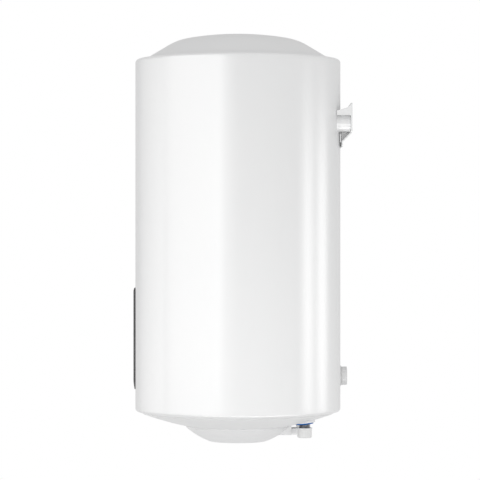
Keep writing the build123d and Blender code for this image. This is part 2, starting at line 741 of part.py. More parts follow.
def foam_insulation():
    """Foam between the tank and the outer covers."""
    lid = -(COVER_WALL + FOAM_GAP)
    curve, flank = dome_curve(lid)
    side = CASING_RADIUS - JACKET_WALL - FOAM_GAP
    shoulder = side - RIM_RADIUS
    top_ledge = TOP_Z - JACKET_WALL - COVER_WALL - 2 * FOAM_GAP
    low_ledge = BOTTOM_Z + JACKET_WALL + COVER_WALL + 2 * FOAM_GAP
    inside = DOME_BASE_RADIUS - COVER_WALL - FOAM_GAP
    dish_outer, dish_inner = dish_ends(COVER_WALL + FOAM_GAP, COVER_WALL + FOAM_GAP)
    roof = path(
        [
            flank,
            (inside, dome_height(inside) + lid),
            (inside, top_ledge),
            (shoulder, top_ledge),
            (side, TOP_Z - RIM_RADIUS - JACKET_WALL),
            (side, BOTTOM_Z + RIM_RADIUS + JACKET_WALL),
            (shoulder, low_ledge),
            (dish_outer[0], low_ledge),
            dish_outer,
        ]
    )
    dish = bulge_curve(dish_outer, dish_inner, DISH_BULGE)
    middle = path([dish_inner, (0.0, dish_inner[1]), (0.0, DOME_APEX_Z + lid)])
    foam = lathe(*curve, roof, dish, middle)
    foam -= tank_body(-GAP)
    foam -= drum(SERVICE_SPACE_RADIUS, BOWL_FLOOR_Z, BOTTOM_LINE_Z)
    foam -= box_envelope(FOAM_GAP)
    foam -= lead_tube(LEAD_RADIUS + FOAM_GAP)
    for bush_side in (-1, 1):
        foam -= rod_to_wall(
            BUSH_RADIUS + FOAM_GAP, 0.0, CASING_RADIUS, bush_side * BUSH_HALF_SPREAD, -BUSH_BELOW_SLOT
        )
    barrel = SPACER_BARREL_RADIUS + FOAM_GAP
    foam -= rod_to_wall(barrel, TANK_RADIUS + GAP, CASING_RADIUS, 0.0, SPACER_Z)
    for height in strip_screw_heights():
        foam -= rod_to_front(STRIP_SCREW_RADIUS + FOAM_GAP, TANK_RADIUS + GAP, CASING_RADIUS, 0.0, height)
    for x in PIPE_PLACES.values():
        pad = COLOUR_RING_RADIUS + PAD_MARGIN + COVER_WALL + FOAM_GAP
        foam -= drum(NIPPLE_RADIUS + FOAM_GAP, BOWL_FLOOR_Z, BOTTOM_LINE_Z, x, PIPE_BACK)
        pad_top = RING_Z + pad * sin(radians(RING_TILT)) + 2 * COVER_WALL
        foam -= drum(pad, BOWL_FLOOR_Z, pad_top, x, PIPE_BACK)
    return foam


def tank_shell():
    """Straight steel shell of the tank."""
    return drum(TANK_RADIUS, BOTTOM_LINE_Z, TOP_LINE_Z) - drum(
        TANK_RADIUS - TANK_WALL, BOTTOM_LINE_Z, TOP_LINE_Z
    )


def tank_top_head():
    """Dished top end of the tank."""
    return top_head_body(0.0) - top_head_body(TANK_WALL)


def tank_bottom_head():
    """Dished bottom end of the tank, with holes for the neck and the two pipes."""
    head = bottom_head_body(0.0) - bottom_head_body(TANK_WALL)
    head -= drum(NECK_RADIUS + FIT, BOWL_FLOOR_Z, BOTTOM_LINE_Z)
    for x in PIPE_PLACES.values():
        head -= drum(NIPPLE_RADIUS + FIT, BOWL_FLOOR_Z, BOTTOM_LINE_Z, x, PIPE_BACK)
    return head


def stud_places():
    """Places of the flange studs."""
    step = 2 * pi / STUD_COUNT
    angles = [pi / 2 + index * step for index in range(STUD_COUNT)]
    return [(STUD_CIRCLE_RADIUS * cos(angle), STUD_CIRCLE_RADIUS * sin(angle)) for angle in angles]


def flange_neck():
    """Welded neck with its bolting ring."""
    bore = NECK_RADIUS - NECK_WALL
    neck = drum(NECK_RADIUS, RING_BOTTOM_Z, BOTTOM_HEAD_Z + NECK_TOP_RISE)
    neck += drum(RING_RADIUS, RING_BOTTOM_Z, RING_TOP_Z)
    neck -= drum(bore, RING_BOTTOM_Z, BOTTOM_HEAD_Z + NECK_TOP_RISE)
    for x, y in stud_places():
        neck -= drum(STUD_RADIUS + FIT, RING_BOTTOM_Z, RING_TOP_Z, x, y)
    return neck


def flange_studs():
    """Studs of the flange."""
    low = PLATE_BOTTOM_Z - STUD_PROUD
    return Compound(children=[drum(STUD_RADIUS, low, RING_TOP_Z, x, y) for x, y in stud_places()])


def flange_nuts():
    """Nuts of the flange."""
    low = PLATE_BOTTOM_Z - NUT_HEIGHT
    bore = STUD_RADIUS + FIT
    nuts = [hex_nut(NUT_ACROSS_FLATS, bore, low, PLATE_BOTTOM_Z, x, y) for x, y in stud_places()]
    return Compound(children=nuts)


def flange_gasket():
    """Rubber ring between the neck and the flange plate."""
    ring = drum(RING_RADIUS, GASKET_BOTTOM_Z, RING_BOTTOM_Z)
    ring -= drum(NECK_RADIUS - NECK_WALL, GASKET_BOTTOM_Z, RING_BOTTOM_Z)
    for x, y in stud_places():
        ring -= drum(STUD_RADIUS + FIT, GASKET_BOTTOM_Z, RING_BOTTOM_Z, x, y)
    return ring


def flange_plate():
    """Plate that closes the neck and carries the element, the anode and the sensor sheath."""
    plate = drum(RING_RADIUS, PLATE_BOTTOM_Z, GASKET_BOTTOM_Z)
    for x, y in stud_places():
        plate -= drum(STUD_RADIUS + FIT, PLATE_BOTTOM_Z, GASKET_BOTTOM_Z, x, y)
    for side in (-1, 1):
        plate -= drum(
            ELEMENT_RADIUS + FIT, PLATE_BOTTOM_Z, GASKET_BOTTOM_Z, side * ELEMENT_HALF_SPREAD, 0.0
        )
    plate -= drum(ANODE_STUD_RADIUS + FIT, PLATE_BOTTOM_Z, GASKET_BOTTOM_Z, 0.0, -ANODE_FORWARD)
    plate -= drum(SHEATH_RADIUS + FIT, PLATE_BOTTOM_Z, GASKET_BOTTOM_Z, 0.0, SHEATH_BACK)
    return plate


def heating_element():
    """Bent tube heater that stands on the flange plate."""
    top = PLATE_BOTTOM_Z + ELEMENT_HEIGHT
    left = (-ELEMENT_HALF_SPREAD, AXIS_Y, PLATE_BOTTOM_Z)
    right = (ELEMENT_HALF_SPREAD, AXIS_Y, PLATE_BOTTOM_Z)
    left_top = (-ELEMENT_HALF_SPREAD, AXIS_Y, top)
    right_top = (ELEMENT_HALF_SPREAD, AXIS_Y, top)
    crest = (0, AXIS_Y, top + ELEMENT_HALF_SPREAD)
    bend = ThreePointArc(left_top, crest, right_top)
    line = Wire([Line(left, left_top).edge(), bend.edge(), Line(right_top, right).edge()])
    section = Plane(left, z_dir=(0, 0, 1)) * Circle(ELEMENT_RADIUS)
    return sweep(section, path=line)


def element_terminals():
    """Flat terminals under the two ends of the heating element."""
    low = PLATE_BOTTOM_Z - TERMINAL_LENGTH
    half = TERMINAL_THICKNESS / 2
    tags = []
    for side in (-1, 1):
        place = side * ELEMENT_HALF_SPREAD
        tags.append(block(TERMINAL_WIDTH, -half, half, low, PLATE_BOTTOM_Z, place))
    return Compound(children=tags)


def anode_rod():
    """Sacrificial rod on a thinner stud through the flange plate."""
    rod = drum(ANODE_RADIUS, GASKET_BOTTOM_Z, GASKET_BOTTOM_Z + ANODE_LENGTH, 0.0, -ANODE_FORWARD)
    stud = drum(
        ANODE_STUD_RADIUS, PLATE_BOTTOM_Z - ANODE_STUD_PROUD, GASKET_BOTTOM_Z, 0.0, -ANODE_FORWARD
    )
    return rod + stud


def anode_nut():
    """Nut of the anode."""
    low = PLATE_BOTTOM_Z - ANODE_NUT_HEIGHT
    bore = ANODE_STUD_RADIUS + FIT
    return hex_nut(ANODE_NUT_ACROSS_FLATS, bore, low, PLATE_BOTTOM_Z, 0.0, -ANODE_FORWARD)


def sensor_sheath():
    """Closed tube that keeps the sensor dry."""
    high = PLATE_BOTTOM_Z + SHEATH_LENGTH
    bore = drum(SHEATH_RADIUS - SHEATH_WALL, PLATE_BOTTOM_Z, high - SHEATH_WALL, 0.0, SHEATH_BACK)
    return drum(SHEATH_RADIUS, PLATE_BOTTOM_Z, high, 0.0, SHEATH_BACK) - bore


def sensor_probe():
    """Rod sensor inside the sheath, standing on the thermal cut-out."""
    high = PLATE_BOTTOM_Z + SHEATH_LENGTH - PROBE_SHORTER
    return drum(PROBE_RADIUS, PLATE_BOTTOM_Z, high, 0.0, SHEATH_BACK)


def cutout_low_z():
    """Height of the underside of the thermal cut-out."""
    return PLATE_BOTTOM_Z - CUTOUT_HEIGHT


def thermal_cutout():
    """Safety cut-out body under the flange plate, with a bore for its reset button."""
    half = CUTOUT_DEPTH / 2
    body = block(CUTOUT_WIDTH, CUTOUT_BACK - half, CUTOUT_BACK + half, cutout_low_z(), PLATE_BOTTOM_Z)
    body = fillet(body.edges().filter_by(Axis.Z), ROUND_EDGE)
    inside = RESET_LENGTH - RESET_PROUD + RESET_TRAVEL + GAP
    return body - drum(RESET_RADIUS + GAP, cutout_low_z(), cutout_low_z() + inside, 0.0, CUTOUT_BACK)


def reset_button():
    """Push button of the thermal cut-out."""
    low = cutout_low_z() - RESET_PROUD
    button = drum(RESET_RADIUS, low, low + RESET_LENGTH, 0.0, CUTOUT_BACK)
    edge = button.edges().filter_by(GeomType.CIRCLE).sort_by(Axis.Z)[0]
    return fillet(edge, RESET_EDGE_ROUND)


def terminal_block():
    """Block for the mains wires, with a screw well in each way."""
    half = TERMINAL_BLOCK_DEPTH / 2
    low = PLATE_BOTTOM_Z - TERMINAL_BLOCK_HEIGHT
    near = -TERMINAL_BLOCK_FORWARD - half
    far = -TERMINAL_BLOCK_FORWARD + half
    body = block(TERMINAL_BLOCK_WIDTH, near, far, low, PLATE_BOTTOM_Z)
    pitch = TERMINAL_BLOCK_WIDTH / TERMINAL_BLOCK_WAYS
    for index in range(TERMINAL_BLOCK_WAYS):
        x = (index + 0.5) * pitch - TERMINAL_BLOCK_WIDTH / 2
        body -= drum(TERMINAL_WELL_RADIUS, low, low + TERMINAL_WELL_DEPTH, x, -TERMINAL_BLOCK_FORWARD)
    return body


def threaded_nipple(x):
    """Pipe nipple through the bottom head, with thread crests drawn as rings."""
    root = THREAD_RADIUS - THREAD_DEPTH
    points = [(NIPPLE_BORE_RADIUS, NIPPLE_END_Z), (root, NIPPLE_END_Z)]
    for turn in range(THREAD_TURNS):
        low = NIPPLE_END_Z + turn * THREAD_PITCH
        points += [(THREAD_RADIUS, low + THREAD_PITCH / 2), (root, low + THREAD_PITCH)]
    neck_z = THREAD_TOP_Z + THREAD_START_BELOW_RING
    top = BOTTOM_Z + NIPPLE_TOP_RISE
    points += [(root, neck_z), (NIPPLE_RADIUS, neck_z), (NIPPLE_RADIUS, top), (NIPPLE_BORE_RADIUS, top)]
    turned = revolve(make_face(lathe_points(points)), axis=Axis.Z)
    return at_axis(x, PIPE_BACK) * turned


def cold_nipple():
    """Cold water inlet."""
    return threaded_nipple(PIPE_PLACES["cold"])


def hot_nipple():
    """Hot water outlet."""
    return threaded_nipple(PIPE_PLACES["hot"])


def hot_riser():
    """Tube inside the hot nipple that draws from the top of the tank."""
    x = PIPE_PLACES["hot"]
    outer = NIPPLE_BORE_RADIUS - FIT
    low = BOTTOM_Z - RISER_START_DROP
    high = TOP_Z - RISER_BELOW_RIM
    return drum(outer, low, high, x, PIPE_BACK) - drum(outer - RISER_WALL, low, high, x, PIPE_BACK)


def cold_diffuser():
    """Slotted cap over the cold nipple that spreads the incoming water."""
    x = PIPE_PLACES["cold"]
    bore = NIPPLE_RADIUS + FIT
    low = BOTTOM_Z + NIPPLE_TOP_RISE - DIFFUSER_OVERLAP
    high = low + DIFFUSER_HEIGHT
    cup = drum(bore + DIFFUSER_WALL, low, high, x, PIPE_BACK)
    cup -= drum(bore, low, high - DIFFUSER_WALL, x, PIPE_BACK)
    span = CUTTER_SPAN * NIPPLE_RADIUS
    middle = at_axis(x, PIPE_BACK, (low + high) / 2 + DIFFUSER_OVERLAP / 2)
    for angle in (0, 90):
        cup -= middle * Rot(0, 0, angle) * Box(span, DIFFUSER_SLOT_WIDTH, DIFFUSER_SLOT_HEIGHT)
    return cup


def colour_ring(x):
    """Flat coloured ring round one nipple, tilted with its seat."""
    bore = THREAD_RADIUS + GAP
    tall = 2 * COLOUR_RING_RADIUS
    ring = drum(COLOUR_RING_RADIUS, RING_Z - tall, RING_Z + tall, x, PIPE_BACK)
    ring -= drum(bore, RING_Z - tall, RING_Z + tall, x, PIPE_BACK)
    return ring & tilted_slab(x, -COLOUR_RING_THICKNESS, 0.0)


def cold_ring():
    """Blue ring of the cold inlet."""
    return colour_ring(PIPE_PLACES["cold"])


def hot_ring():
    """Red ring of the hot outlet."""
    return colour_ring(PIPE_PLACES["hot"])


def transport_cap(x):
    """Push-on cap that covers the thread until the pipes are fitted."""
    low = CAP_TOP_Z - CAP_HEIGHT
    cap = drum(CAP_RADIUS, low, CAP_TOP_Z, x, PIPE_BACK)
    cap = fillet(cap.edges().filter_by(GeomType.CIRCLE).sort_by(Axis.Z)[0], CAP_EDGE_ROUND)
    cap += drum(CAP_LIP_RADIUS, CAP_TOP_Z - CAP_LIP_HEIGHT, CAP_TOP_Z, x, PIPE_BACK)
    return cap - drum(THREAD_RADIUS + GAP, low + CAP_FLOOR, CAP_TOP_Z, x, PIPE_BACK)


def cold_cap():
    """Cap of the cold inlet."""
    return transport_cap(PIPE_PLACES["cold"])


def hot_cap():
    """Cap of the hot outlet."""
    return transport_cap(PIPE_PLACES["hot"])


def bush_places():
    """Sides of the two bracket bushes."""
    return [side * BUSH_HALF_SPREAD for side in (-1, 1)]


def wall_distance(y):
    """Distance from the tank axis of a place given from the wall plane."""
    return y - AXIS_Y


def screw_head_cone(grow, x):
    """Countersunk head of a bracket screw, flush with the wall face."""
    cone = Cone(BRACKET_SCREW_RADIUS + grow, BRACKET_SCREW_HEAD_RADIUS + grow, BRACKET_SCREW_HEAD_HEIGHT)
    return Pos(x, -BRACKET_SCREW_HEAD_HEIGHT / 2, -BUSH_BELOW_SLOT) * Rot(-90, 0, 0) * cone


def slot_cutter(x):
    """Cutter for one hook slot through the bracket's wall plate."""
    outline = SlotOverall(SLOT_LENGTH, 2 * SLOT_RADIUS)
    return Pos(x, 0, 0) * extrude(Plane.XZ * outline, BRACKET_SHEET * 2, both=True)


def wall_bracket():
    """Pressed bracket: wall plate with two hook slots, side lugs, a slanted leg, its webs and a tab."""
    face = RectangleRounded(2 * BRACKET_HALF_WIDTH, BRACKET_HEIGHT, BRACKET_CORNER)
    plate_z = (BRACKET_TOP_Z + BRACKET_BOTTOM_Z) / 2
    plate = Pos(0, 0, plate_z) * extrude(Plane.XZ * face, BRACKET_SHEET)
    tab_y = -WALL_GAP + TAB_BEHIND_CASING
    drop = (-BRACKET_SHEET - tab_y) * tan(radians(LEG_SLOPE))
    leg_end = BRACKET_BOTTOM_Z - drop
    bend = BRACKET_SHEET * tan(radians(LEG_SLOPE / 2))
    outline = Polyline(
        (0, 0, BRACKET_BOTTOM_Z + bend),
        (0, 0, BRACKET_BOTTOM_Z),
        (0, tab_y + BRACKET_SHEET, leg_end),
        (0, tab_y + BRACKET_SHEET, leg_end - TAB_HEIGHT),
        (0, tab_y, leg_end - TAB_HEIGHT),
        (0, tab_y, leg_end + bend),
        (0, -BRACKET_SHEET, BRACKET_BOTTOM_Z + bend),
        close=True,
    )
    leg = extrude(make_face(outline), LEG_HALF_WIDTH, dir=(1, 0, 0), both=True)
    bracket = plate + leg
    web_y = tab_y + BRACKET_SHEET / 2
    web_outline = Polyline(
        (0, -BRACKET_SHEET / 2, -BUSH_BELOW_SLOT),
        (0, -BRACKET_SHEET / 2, BRACKET_BOTTOM_Z + bend / 2),
        (0, web_y, leg_end + bend / 2),
        (0, web_y, -BUSH_BELOW_SLOT),
        close=True,
    )
    lug_high = BRACKET_TOP_Z - BRACKET_CORNER - LUG_TOP_DROP
    lug_low = LUG_ABOVE_BUSH + BUSH_RADIUS - BUSH_BELOW_SLOT
    shoulder_z = lug_high - (LUG_SHOULDER - BRACKET_SHEET)
    lug_y = AXIS_Y + sqrt(CASING_RADIUS**2 - BRACKET_HALF_WIDTH**2) - WALL_GAP / 2
    lug_outline = Polyline(
        (0, -GAP, lug_high),
        (0, -BRACKET_SHEET, lug_high),
        (0, -LUG_SHOULDER, shoulder_z),
        (0, lug_y, shoulder_z + (lug_y + LUG_SHOULDER) * tan(radians(LUG_FALL))),
        (0, lug_y, lug_low),
        (0, -GAP, lug_low),
        close=True,
    )
    for side in (-1, 1):
        web = extrude(make_face(web_outline), BRACKET_SHEET / 2, dir=(1, 0, 0), both=True)
        bracket += Pos(side * WEB_HALF_SPREAD, 0, 0) * web
        lug = extrude(make_face(lug_outline), BRACKET_SHEET / 2, dir=(1, 0, 0), both=True)
        lug = Pos(side * (BRACKET_HALF_WIDTH - BRACKET_SHEET / 2), 0, 0) * lug
        bracket += lug - drum(CASING_RADIUS + ROUND_EDGE, BOTTOM_Z, TOP_Z)
    for side in (-1, 1):
        bracket -= slot_cutter(side * SLOT_SPACING / 2)
    for x in bush_places():
        bracket -= screw_head_cone(FIT, x)
        near = wall_distance(-BRACKET_SHEET - GAP)
        far = wall_distance(GAP)
        bracket -= rod_to_wall(BRACKET_SCREW_RADIUS + FIT, near, far, x, -BUSH_BELOW_SLOT)
    return bracket


def bracket_bushes():
    """Two steel bushes that carry the tank's weight to the bracket."""
    bushes = []
    for x in bush_places():
        far = wall_distance(-BRACKET_SHEET)
        bush = rod_to_wall(BUSH_RADIUS, 0.0, far, x, -BUSH_BELOW_SLOT)
        bush -= drum(TANK_RADIUS, BOTTOM_Z, TOP_Z)
        depth = BRACKET_SCREW_LENGTH + ROUND_EDGE
        bore = rod_to_wall(BRACKET_SCREW_RADIUS + FIT, wall_distance(-depth), far, x, -BUSH_BELOW_SLOT)
        bushes.append(bush - bore)
    return Compound(children=bushes)


def bracket_screws():
    """Two countersunk screws that hold the wall plate to the bushes."""
    screws = []
    for x in bush_places():
        head = screw_head_cone(0.0, x)
        near = wall_distance(-BRACKET_SCREW_LENGTH)
        shank = rod_to_wall(BRACKET_SCREW_RADIUS, near, wall_distance(-GAP), x, -BUSH_BELOW_SLOT)
        key = RegularPolygon(HEX_KEY_FLATS / 2, 6, major_radius=False)
        socket = Pos(x, 0, -BUSH_BELOW_SLOT) * extrude(Plane.XZ * key, BRACKET_SCREW_HEAD_HEIGHT)
        screws.append(head + shank - socket)
    return Compound(children=screws)


def spacer_socket():
    """Collar and barrel in the back of the casing that hold the sliding spacer."""
    collar_far = CASING_RADIUS + SPACER_COLLAR_HEIGHT
    collar = rod_to_wall(SPACER_COLLAR_RADIUS, 0.0, collar_far, 0.0, SPACER_Z)
    outer_edge = collar.edges().filter_by(GeomType.CIRCLE).sort_by(Axis.Y)[-1]
    collar = chamfer(outer_edge, ROUND_EDGE)
    collar -= drum(CASING_RADIUS + FIT, BOTTOM_Z, TOP_Z)
    near = CASING_RADIUS - SPACER_BARREL_DEPTH
    barrel = rod_to_wall(SPACER_BARREL_RADIUS, near, collar_far, 0.0, SPACER_Z)
    bore = rod_to_wall(SPACER_SHANK_RADIUS + GAP, near, collar_far, 0.0, SPACER_Z)
    return collar + barrel - bore


def spacer_pad():
    """Round foot that slides out until it meets the wall."""
    near = CASING_RADIUS + SPACER_COLLAR_HEIGHT + GAP
    far = CASING_RADIUS + SPACER_REACH
    pad = rod_to_wall(SPACER_RADIUS, near, far, 0.0, SPACER_Z)
    outer_edge = pad.edges().filter_by(GeomType.CIRCLE).sort_by(Axis.Y)[-1]
    pad = fillet(outer_edge, SPACER_DOME)
    return pad + rod_to_wall(SPACER_SHANK_RADIUS, near - SPACER_SHANK_LENGTH, near, 0.0, SPACER_Z)


def strip_outline(inner, outer):
    """Curved slab of the control strip between two radii, with rounded corners and bevelled ends."""
    slab = drum(outer, STRIP_Z - STRIP_HEIGHT, STRIP_Z + STRIP_HEIGHT)
    slab -= drum(inner, STRIP_Z - STRIP_HEIGHT, STRIP_Z + STRIP_HEIGHT)
    front = RectangleRounded(STRIP_WIDTH, STRIP_HEIGHT, STRIP_CORNER)
    slab &= at_axis(0, 0, STRIP_Z) * extrude(Plane.XZ * front, 2 * CASING_RADIUS)
    high = STRIP_Z + STRIP_HEIGHT / 2
    low = STRIP_Z - STRIP_HEIGHT / 2
    side = Polyline(
        (0, 0, high),
        (0, -STRIP_BACK_RADIUS - STRIP_TOP_EDGE, high),
        (0, -STRIP_FRONT_RADIUS, high - STRIP_TOP_BEVEL),
        (0, -STRIP_FRONT_RADIUS, low + STRIP_BOTTOM_BEVEL),
        (0, -STRIP_BACK_RADIUS - STRIP_BOTTOM_EDGE, low),
        (0, 0, low),
        close=True,
    )
    slab &= at_axis() * extrude(make_face(side), STRIP_WIDTH, dir=(1, 0, 0), both=True)
    return slab


def window_shape(grow):
    """Front outline of the display window, grown by a clearance, through the strip."""
    outline = RectangleRounded(WINDOW_WIDTH + 2 * grow, WINDOW_HEIGHT + 2 * grow, WINDOW_CORNER + grow)
    return at_axis(0, 0, WINDOW_Z) * extrude(Plane.XZ * outline, 2 * CASING_RADIUS)


def lens_places():
    """Places of the indicator lenses, as x and z."""
    first = -(LENS_COUNT - 1) / 2
    return [((first + index) * LENS_SPACING, STRIP_Z + LENS_RAISED) for index in range(LENS_COUNT)]


def button_heights():
    """Heights of the three strip buttons, top first."""
    lowest = BOX_LOW_Z + BUTTON_ABOVE_BOX_END
    return [lowest + index * BUTTON_SPACING for index in reversed(range(len(BUTTON_NAMES)))]


def strip_holes(slab):
    """Cut the window, the lens holes and the button holes through a slab of the strip."""
    slab -= window_shape(FIT)
    for x, z in lens_places():
        slab -= rod_to_front(LENS_RADIUS + FIT, 0.0, 2 * CASING_RADIUS, x, z)
    for z in button_heights():
        slab -= rod_to_front(BUTTON_RADIUS + GAP, 0.0, 2 * CASING_RADIUS, 0.0, z)
    return slab


def strip_frame():
    """Dark frame of the control strip, screwed to the casing."""
    frame = strip_holes(strip_outline(STRIP_BACK_RADIUS, STRIP_SPLIT_RADIUS))
    seat = STRIP_SPLIT_RADIUS - STRIP_SCREW_HEAD_HEIGHT - FIT
    for z in strip_screw_heights():
        frame -= rod_to_front(STRIP_SCREW_RADIUS + FIT, 0.0, 2 * CASING_RADIUS, 0.0, z)
        frame -= rod_to_front(STRIP_SCREW_HEAD_RADIUS + FIT, seat, 2 * CASING_RADIUS, 0.0, z)
    return frame


def strip_face():
    """Glossy face of the control strip."""
    return strip_holes(strip_outline(STRIP_SPLIT_RADIUS, STRIP_FRONT_RADIUS))


def strip_screws():
    """Two screws under the strip's face."""
    top = STRIP_SPLIT_RADIUS - FIT
    seat = top - STRIP_SCREW_HEAD_HEIGHT
    screws = []
    for z in strip_screw_heights():
        head = rod_to_front(STRIP_SCREW_HEAD_RADIUS, seat, top, 0.0, z)
        screws.append(head + rod_to_front(STRIP_SCREW_RADIUS, top - STRIP_SCREW_LENGTH, seat, 0.0, z))
    return Compound(children=screws)


def display_window():
    """Smoked window of the display."""
    slab = drum(STRIP_FRONT_RADIUS, STRIP_Z - STRIP_HEIGHT, STRIP_Z + STRIP_HEIGHT)
    slab -= drum(STRIP_BACK_RADIUS, STRIP_Z - STRIP_HEIGHT, STRIP_Z + STRIP_HEIGHT)
    return slab & window_shape(0.0)


def indicator_lenses():
    """Three small light guides that stand on the circuit board."""
    front = STRIP_FRONT_RADIUS - FIT
    lenses = [rod_to_front(LENS_RADIUS, BOARD_FRONT_RADIUS, front, x, z) for x, z in lens_places()]
    return Compound(children=lenses)


def control_box():
    """Tray behind the strip, let into the foam, with ledges for the circuit board."""
    body = block(BOX_WIDTH, -STRIP_FRONT_RADIUS, -BOX_BACK_RADIUS, BOX_LOW_Z, BOX_HIGH_Z)
    body &= drum(STRIP_BACK_RADIUS - FIT, BOTTOM_Z, TOP_Z)
    inner = BOX_WIDTH - 2 * BOX_WALL
    floor = -BOX_BACK_RADIUS - BOX_WALL
    low = BOX_LOW_Z + BOX_WALL
    high = BOX_HIGH_Z - BOX_WALL
    body -= block(inner, -STRIP_FRONT_RADIUS, -BOARD_BACK_RADIUS, low, high)
    body -= block(inner - 2 * LEDGE_WIDTH, -STRIP_FRONT_RADIUS, floor, low, high)
    return body - lead_tube(LEAD_RADIUS + FIT)


def circuit_board():
    """Printed board that lies on the ledges of the control box."""
    half = BOX_HEIGHT / 2 - BOX_WALL - FIT
    width = BOX_WIDTH - 2 * (BOX_WALL + FIT)
    return block(width, -BOARD_FRONT_RADIUS, -BOARD_BACK_RADIUS, BOX_Z - half, BOX_Z + half)


def display_module():
    """Lit digit module on the circuit board, behind the window."""
    top = STRIP_BACK_RADIUS - MODULE_MARGIN
    half = WINDOW_HEIGHT / 2 + MODULE_MARGIN
    width = WINDOW_WIDTH + 2 * MODULE_MARGIN
    return block(width, -top, -BOARD_FRONT_RADIUS, WINDOW_Z - half, WINDOW_Z + half)


def button_switches():
    """Switch bodies under the three buttons, each with a bore for its stem."""
    half = SWITCH_SIZE / 2
    top = BOARD_FRONT_RADIUS + SWITCH_HEIGHT
    switches = []
    for z in button_heights():
        body = block(SWITCH_SIZE, -top, -BOARD_FRONT_RADIUS, z - half, z + half)
        bore = rod_to_front(BUTTON_STEM_RADIUS + GAP, top - SWITCH_BORE_DEPTH, top + GAP, 0.0, z)
        switches.append(body - bore)
    return Compound(children=switches)


def strip_button(name):
    """One push button: a flush face, a flange behind the frame and a stem to its switch."""
    z = button_heights()[BUTTON_NAMES.index(name)]
    sag = STRIP_BACK_RADIUS - sqrt(STRIP_BACK_RADIUS**2 - (BUTTON_RADIUS + BUTTON_FLANGE) ** 2)
    flange_front = STRIP_BACK_RADIUS - sag - FIT
    flange_back = flange_front - BUTTON_FLANGE_THICKNESS
    stem_end = BOARD_FRONT_RADIUS + SWITCH_HEIGHT - SWITCH_ENGAGEMENT
    button = rod_to_front(BUTTON_RADIUS, flange_front, STRIP_FRONT_RADIUS, 0.0, z)
    front_edge = button.edges().filter_by(GeomType.CIRCLE).sort_by(Axis.Y)[0]
    button = fillet(front_edge, BUTTON_EDGE_ROUND)
    button += rod_to_front(BUTTON_RADIUS + BUTTON_FLANGE, flange_back, flange_front, 0.0, z)
    return button + rod_to_front(BUTTON_STEM_RADIUS, stem_end, flange_back, 0.0, z)


def power_button():
    """Power button, the highest of the three."""
    return strip_button("power")


def minus_button():
    """Button that lowers the set temperature."""
    return strip_button("minus")


def plus_button():
    """Button that raises the set temperature."""
    return strip_button("plus")


def strip_lead():
    """Lead from the control box to the terminal block, held by the foam."""
    return lead_tube(LEAD_RADIUS)


PIECES = (
    casing_jacket,
    top_cover,
    bottom_cover,
    service_cover,
    service_cover_screws,
    cover_posts,
    cable_clamp,
    foam_insulation,
    tank_shell,
    tank_top_head,
    tank_bottom_head,
    flange_neck,
    flange_studs,
    flange_nuts,
    flange_gasket,
    flange_plate,
    heating_element,
    element_terminals,
    anode_rod,
    anode_nut,
    sensor_sheath,
    sensor_probe,
    thermal_cutout,
    reset_button,
    terminal_block,
    cold_nipple,
    hot_nipple,
    hot_riser,
    cold_diffuser,
    cold_ring,
    hot_ring,
    cold_cap,
    hot_cap,
    wall_bracket,
    bracket_bushes,
    bracket_screws,
    spacer_socket,
    spacer_pad,
    strip_frame,
    strip_face,
    strip_screws,
    display_window,
    indicator_lenses,
    control_box,
    circuit_board,
    display_module,
    button_switches,
    power_button,
    minus_button,
    plus_button,
    strip_lead,
)


def main():
    """Build every piece and write it to parts/."""
    os.makedirs("parts", exist_ok=True)
    for piece in PIECES:
        export_step(piece(), f"parts/{piece.__name__}.step")


main()
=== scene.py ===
"""Looks of a wall-hung round storage water heater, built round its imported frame.

Frame: metres, +Z up, +Y into the wall, the wall plane at y = 0. The camera looks along -X, at the
heater's right-hand side. Each sub-assembly is a class: its sizes are fields, its methods build and
dress its pieces.
"""

import logging
import math
from dataclasses import dataclass
from enum import Enum
from typing import Optional, Sequence

import bmesh
import bpy
import numpy as np
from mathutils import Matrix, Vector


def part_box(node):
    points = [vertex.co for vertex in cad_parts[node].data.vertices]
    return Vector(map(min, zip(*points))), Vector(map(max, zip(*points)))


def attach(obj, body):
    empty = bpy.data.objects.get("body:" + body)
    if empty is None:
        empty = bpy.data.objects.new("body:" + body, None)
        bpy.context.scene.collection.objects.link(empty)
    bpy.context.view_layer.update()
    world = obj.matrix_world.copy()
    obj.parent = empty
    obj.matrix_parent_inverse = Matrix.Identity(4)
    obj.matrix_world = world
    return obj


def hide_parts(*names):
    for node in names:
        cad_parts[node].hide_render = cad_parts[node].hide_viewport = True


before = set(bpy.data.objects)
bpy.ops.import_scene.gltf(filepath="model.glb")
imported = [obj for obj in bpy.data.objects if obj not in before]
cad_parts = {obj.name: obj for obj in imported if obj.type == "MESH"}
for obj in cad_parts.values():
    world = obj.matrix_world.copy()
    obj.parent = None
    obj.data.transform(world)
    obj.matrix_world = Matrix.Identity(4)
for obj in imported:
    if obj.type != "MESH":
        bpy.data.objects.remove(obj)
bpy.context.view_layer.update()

LOG = logging.getLogger("water_heater")

Array = np.ndarray
Colour = tuple[float, float, float]
Point = tuple[float, float, float]

MM = 0.001
FULL_TURN = 2.0 * math.pi
WELD_DISTANCE = 1e-7
MERGE_DISTANCE = 1e-6
FLAT_ANGLE = math.radians(0.4)
SHARP_ANGLE = math.radians(32.0)
BEVEL_ANGLE = math.radians(40.0)
BEVEL_STEPS = 2
CURVE_STEPS = 10
WHITE = (1.0, 1.0, 1.0, 1.0)
MAIN_BODY = "heater"


class Axis(Enum):
    """Line that a piece is turned about."""

    UP = "up"
    TO_WALL = "to_wall"


class Grain(Enum):
    """Small relief that a finish carries."""

    PAINT_PEEL = "paint_peel"
    MOULDED = "moulded"
    BRUSHED = "brushed"
    SPANGLE = "spangle"


class Glow(Enum):
    """Whether a finish gives light of its own."""

    NONE = 0.0
    LIT = 2.2


# Mesh helpers


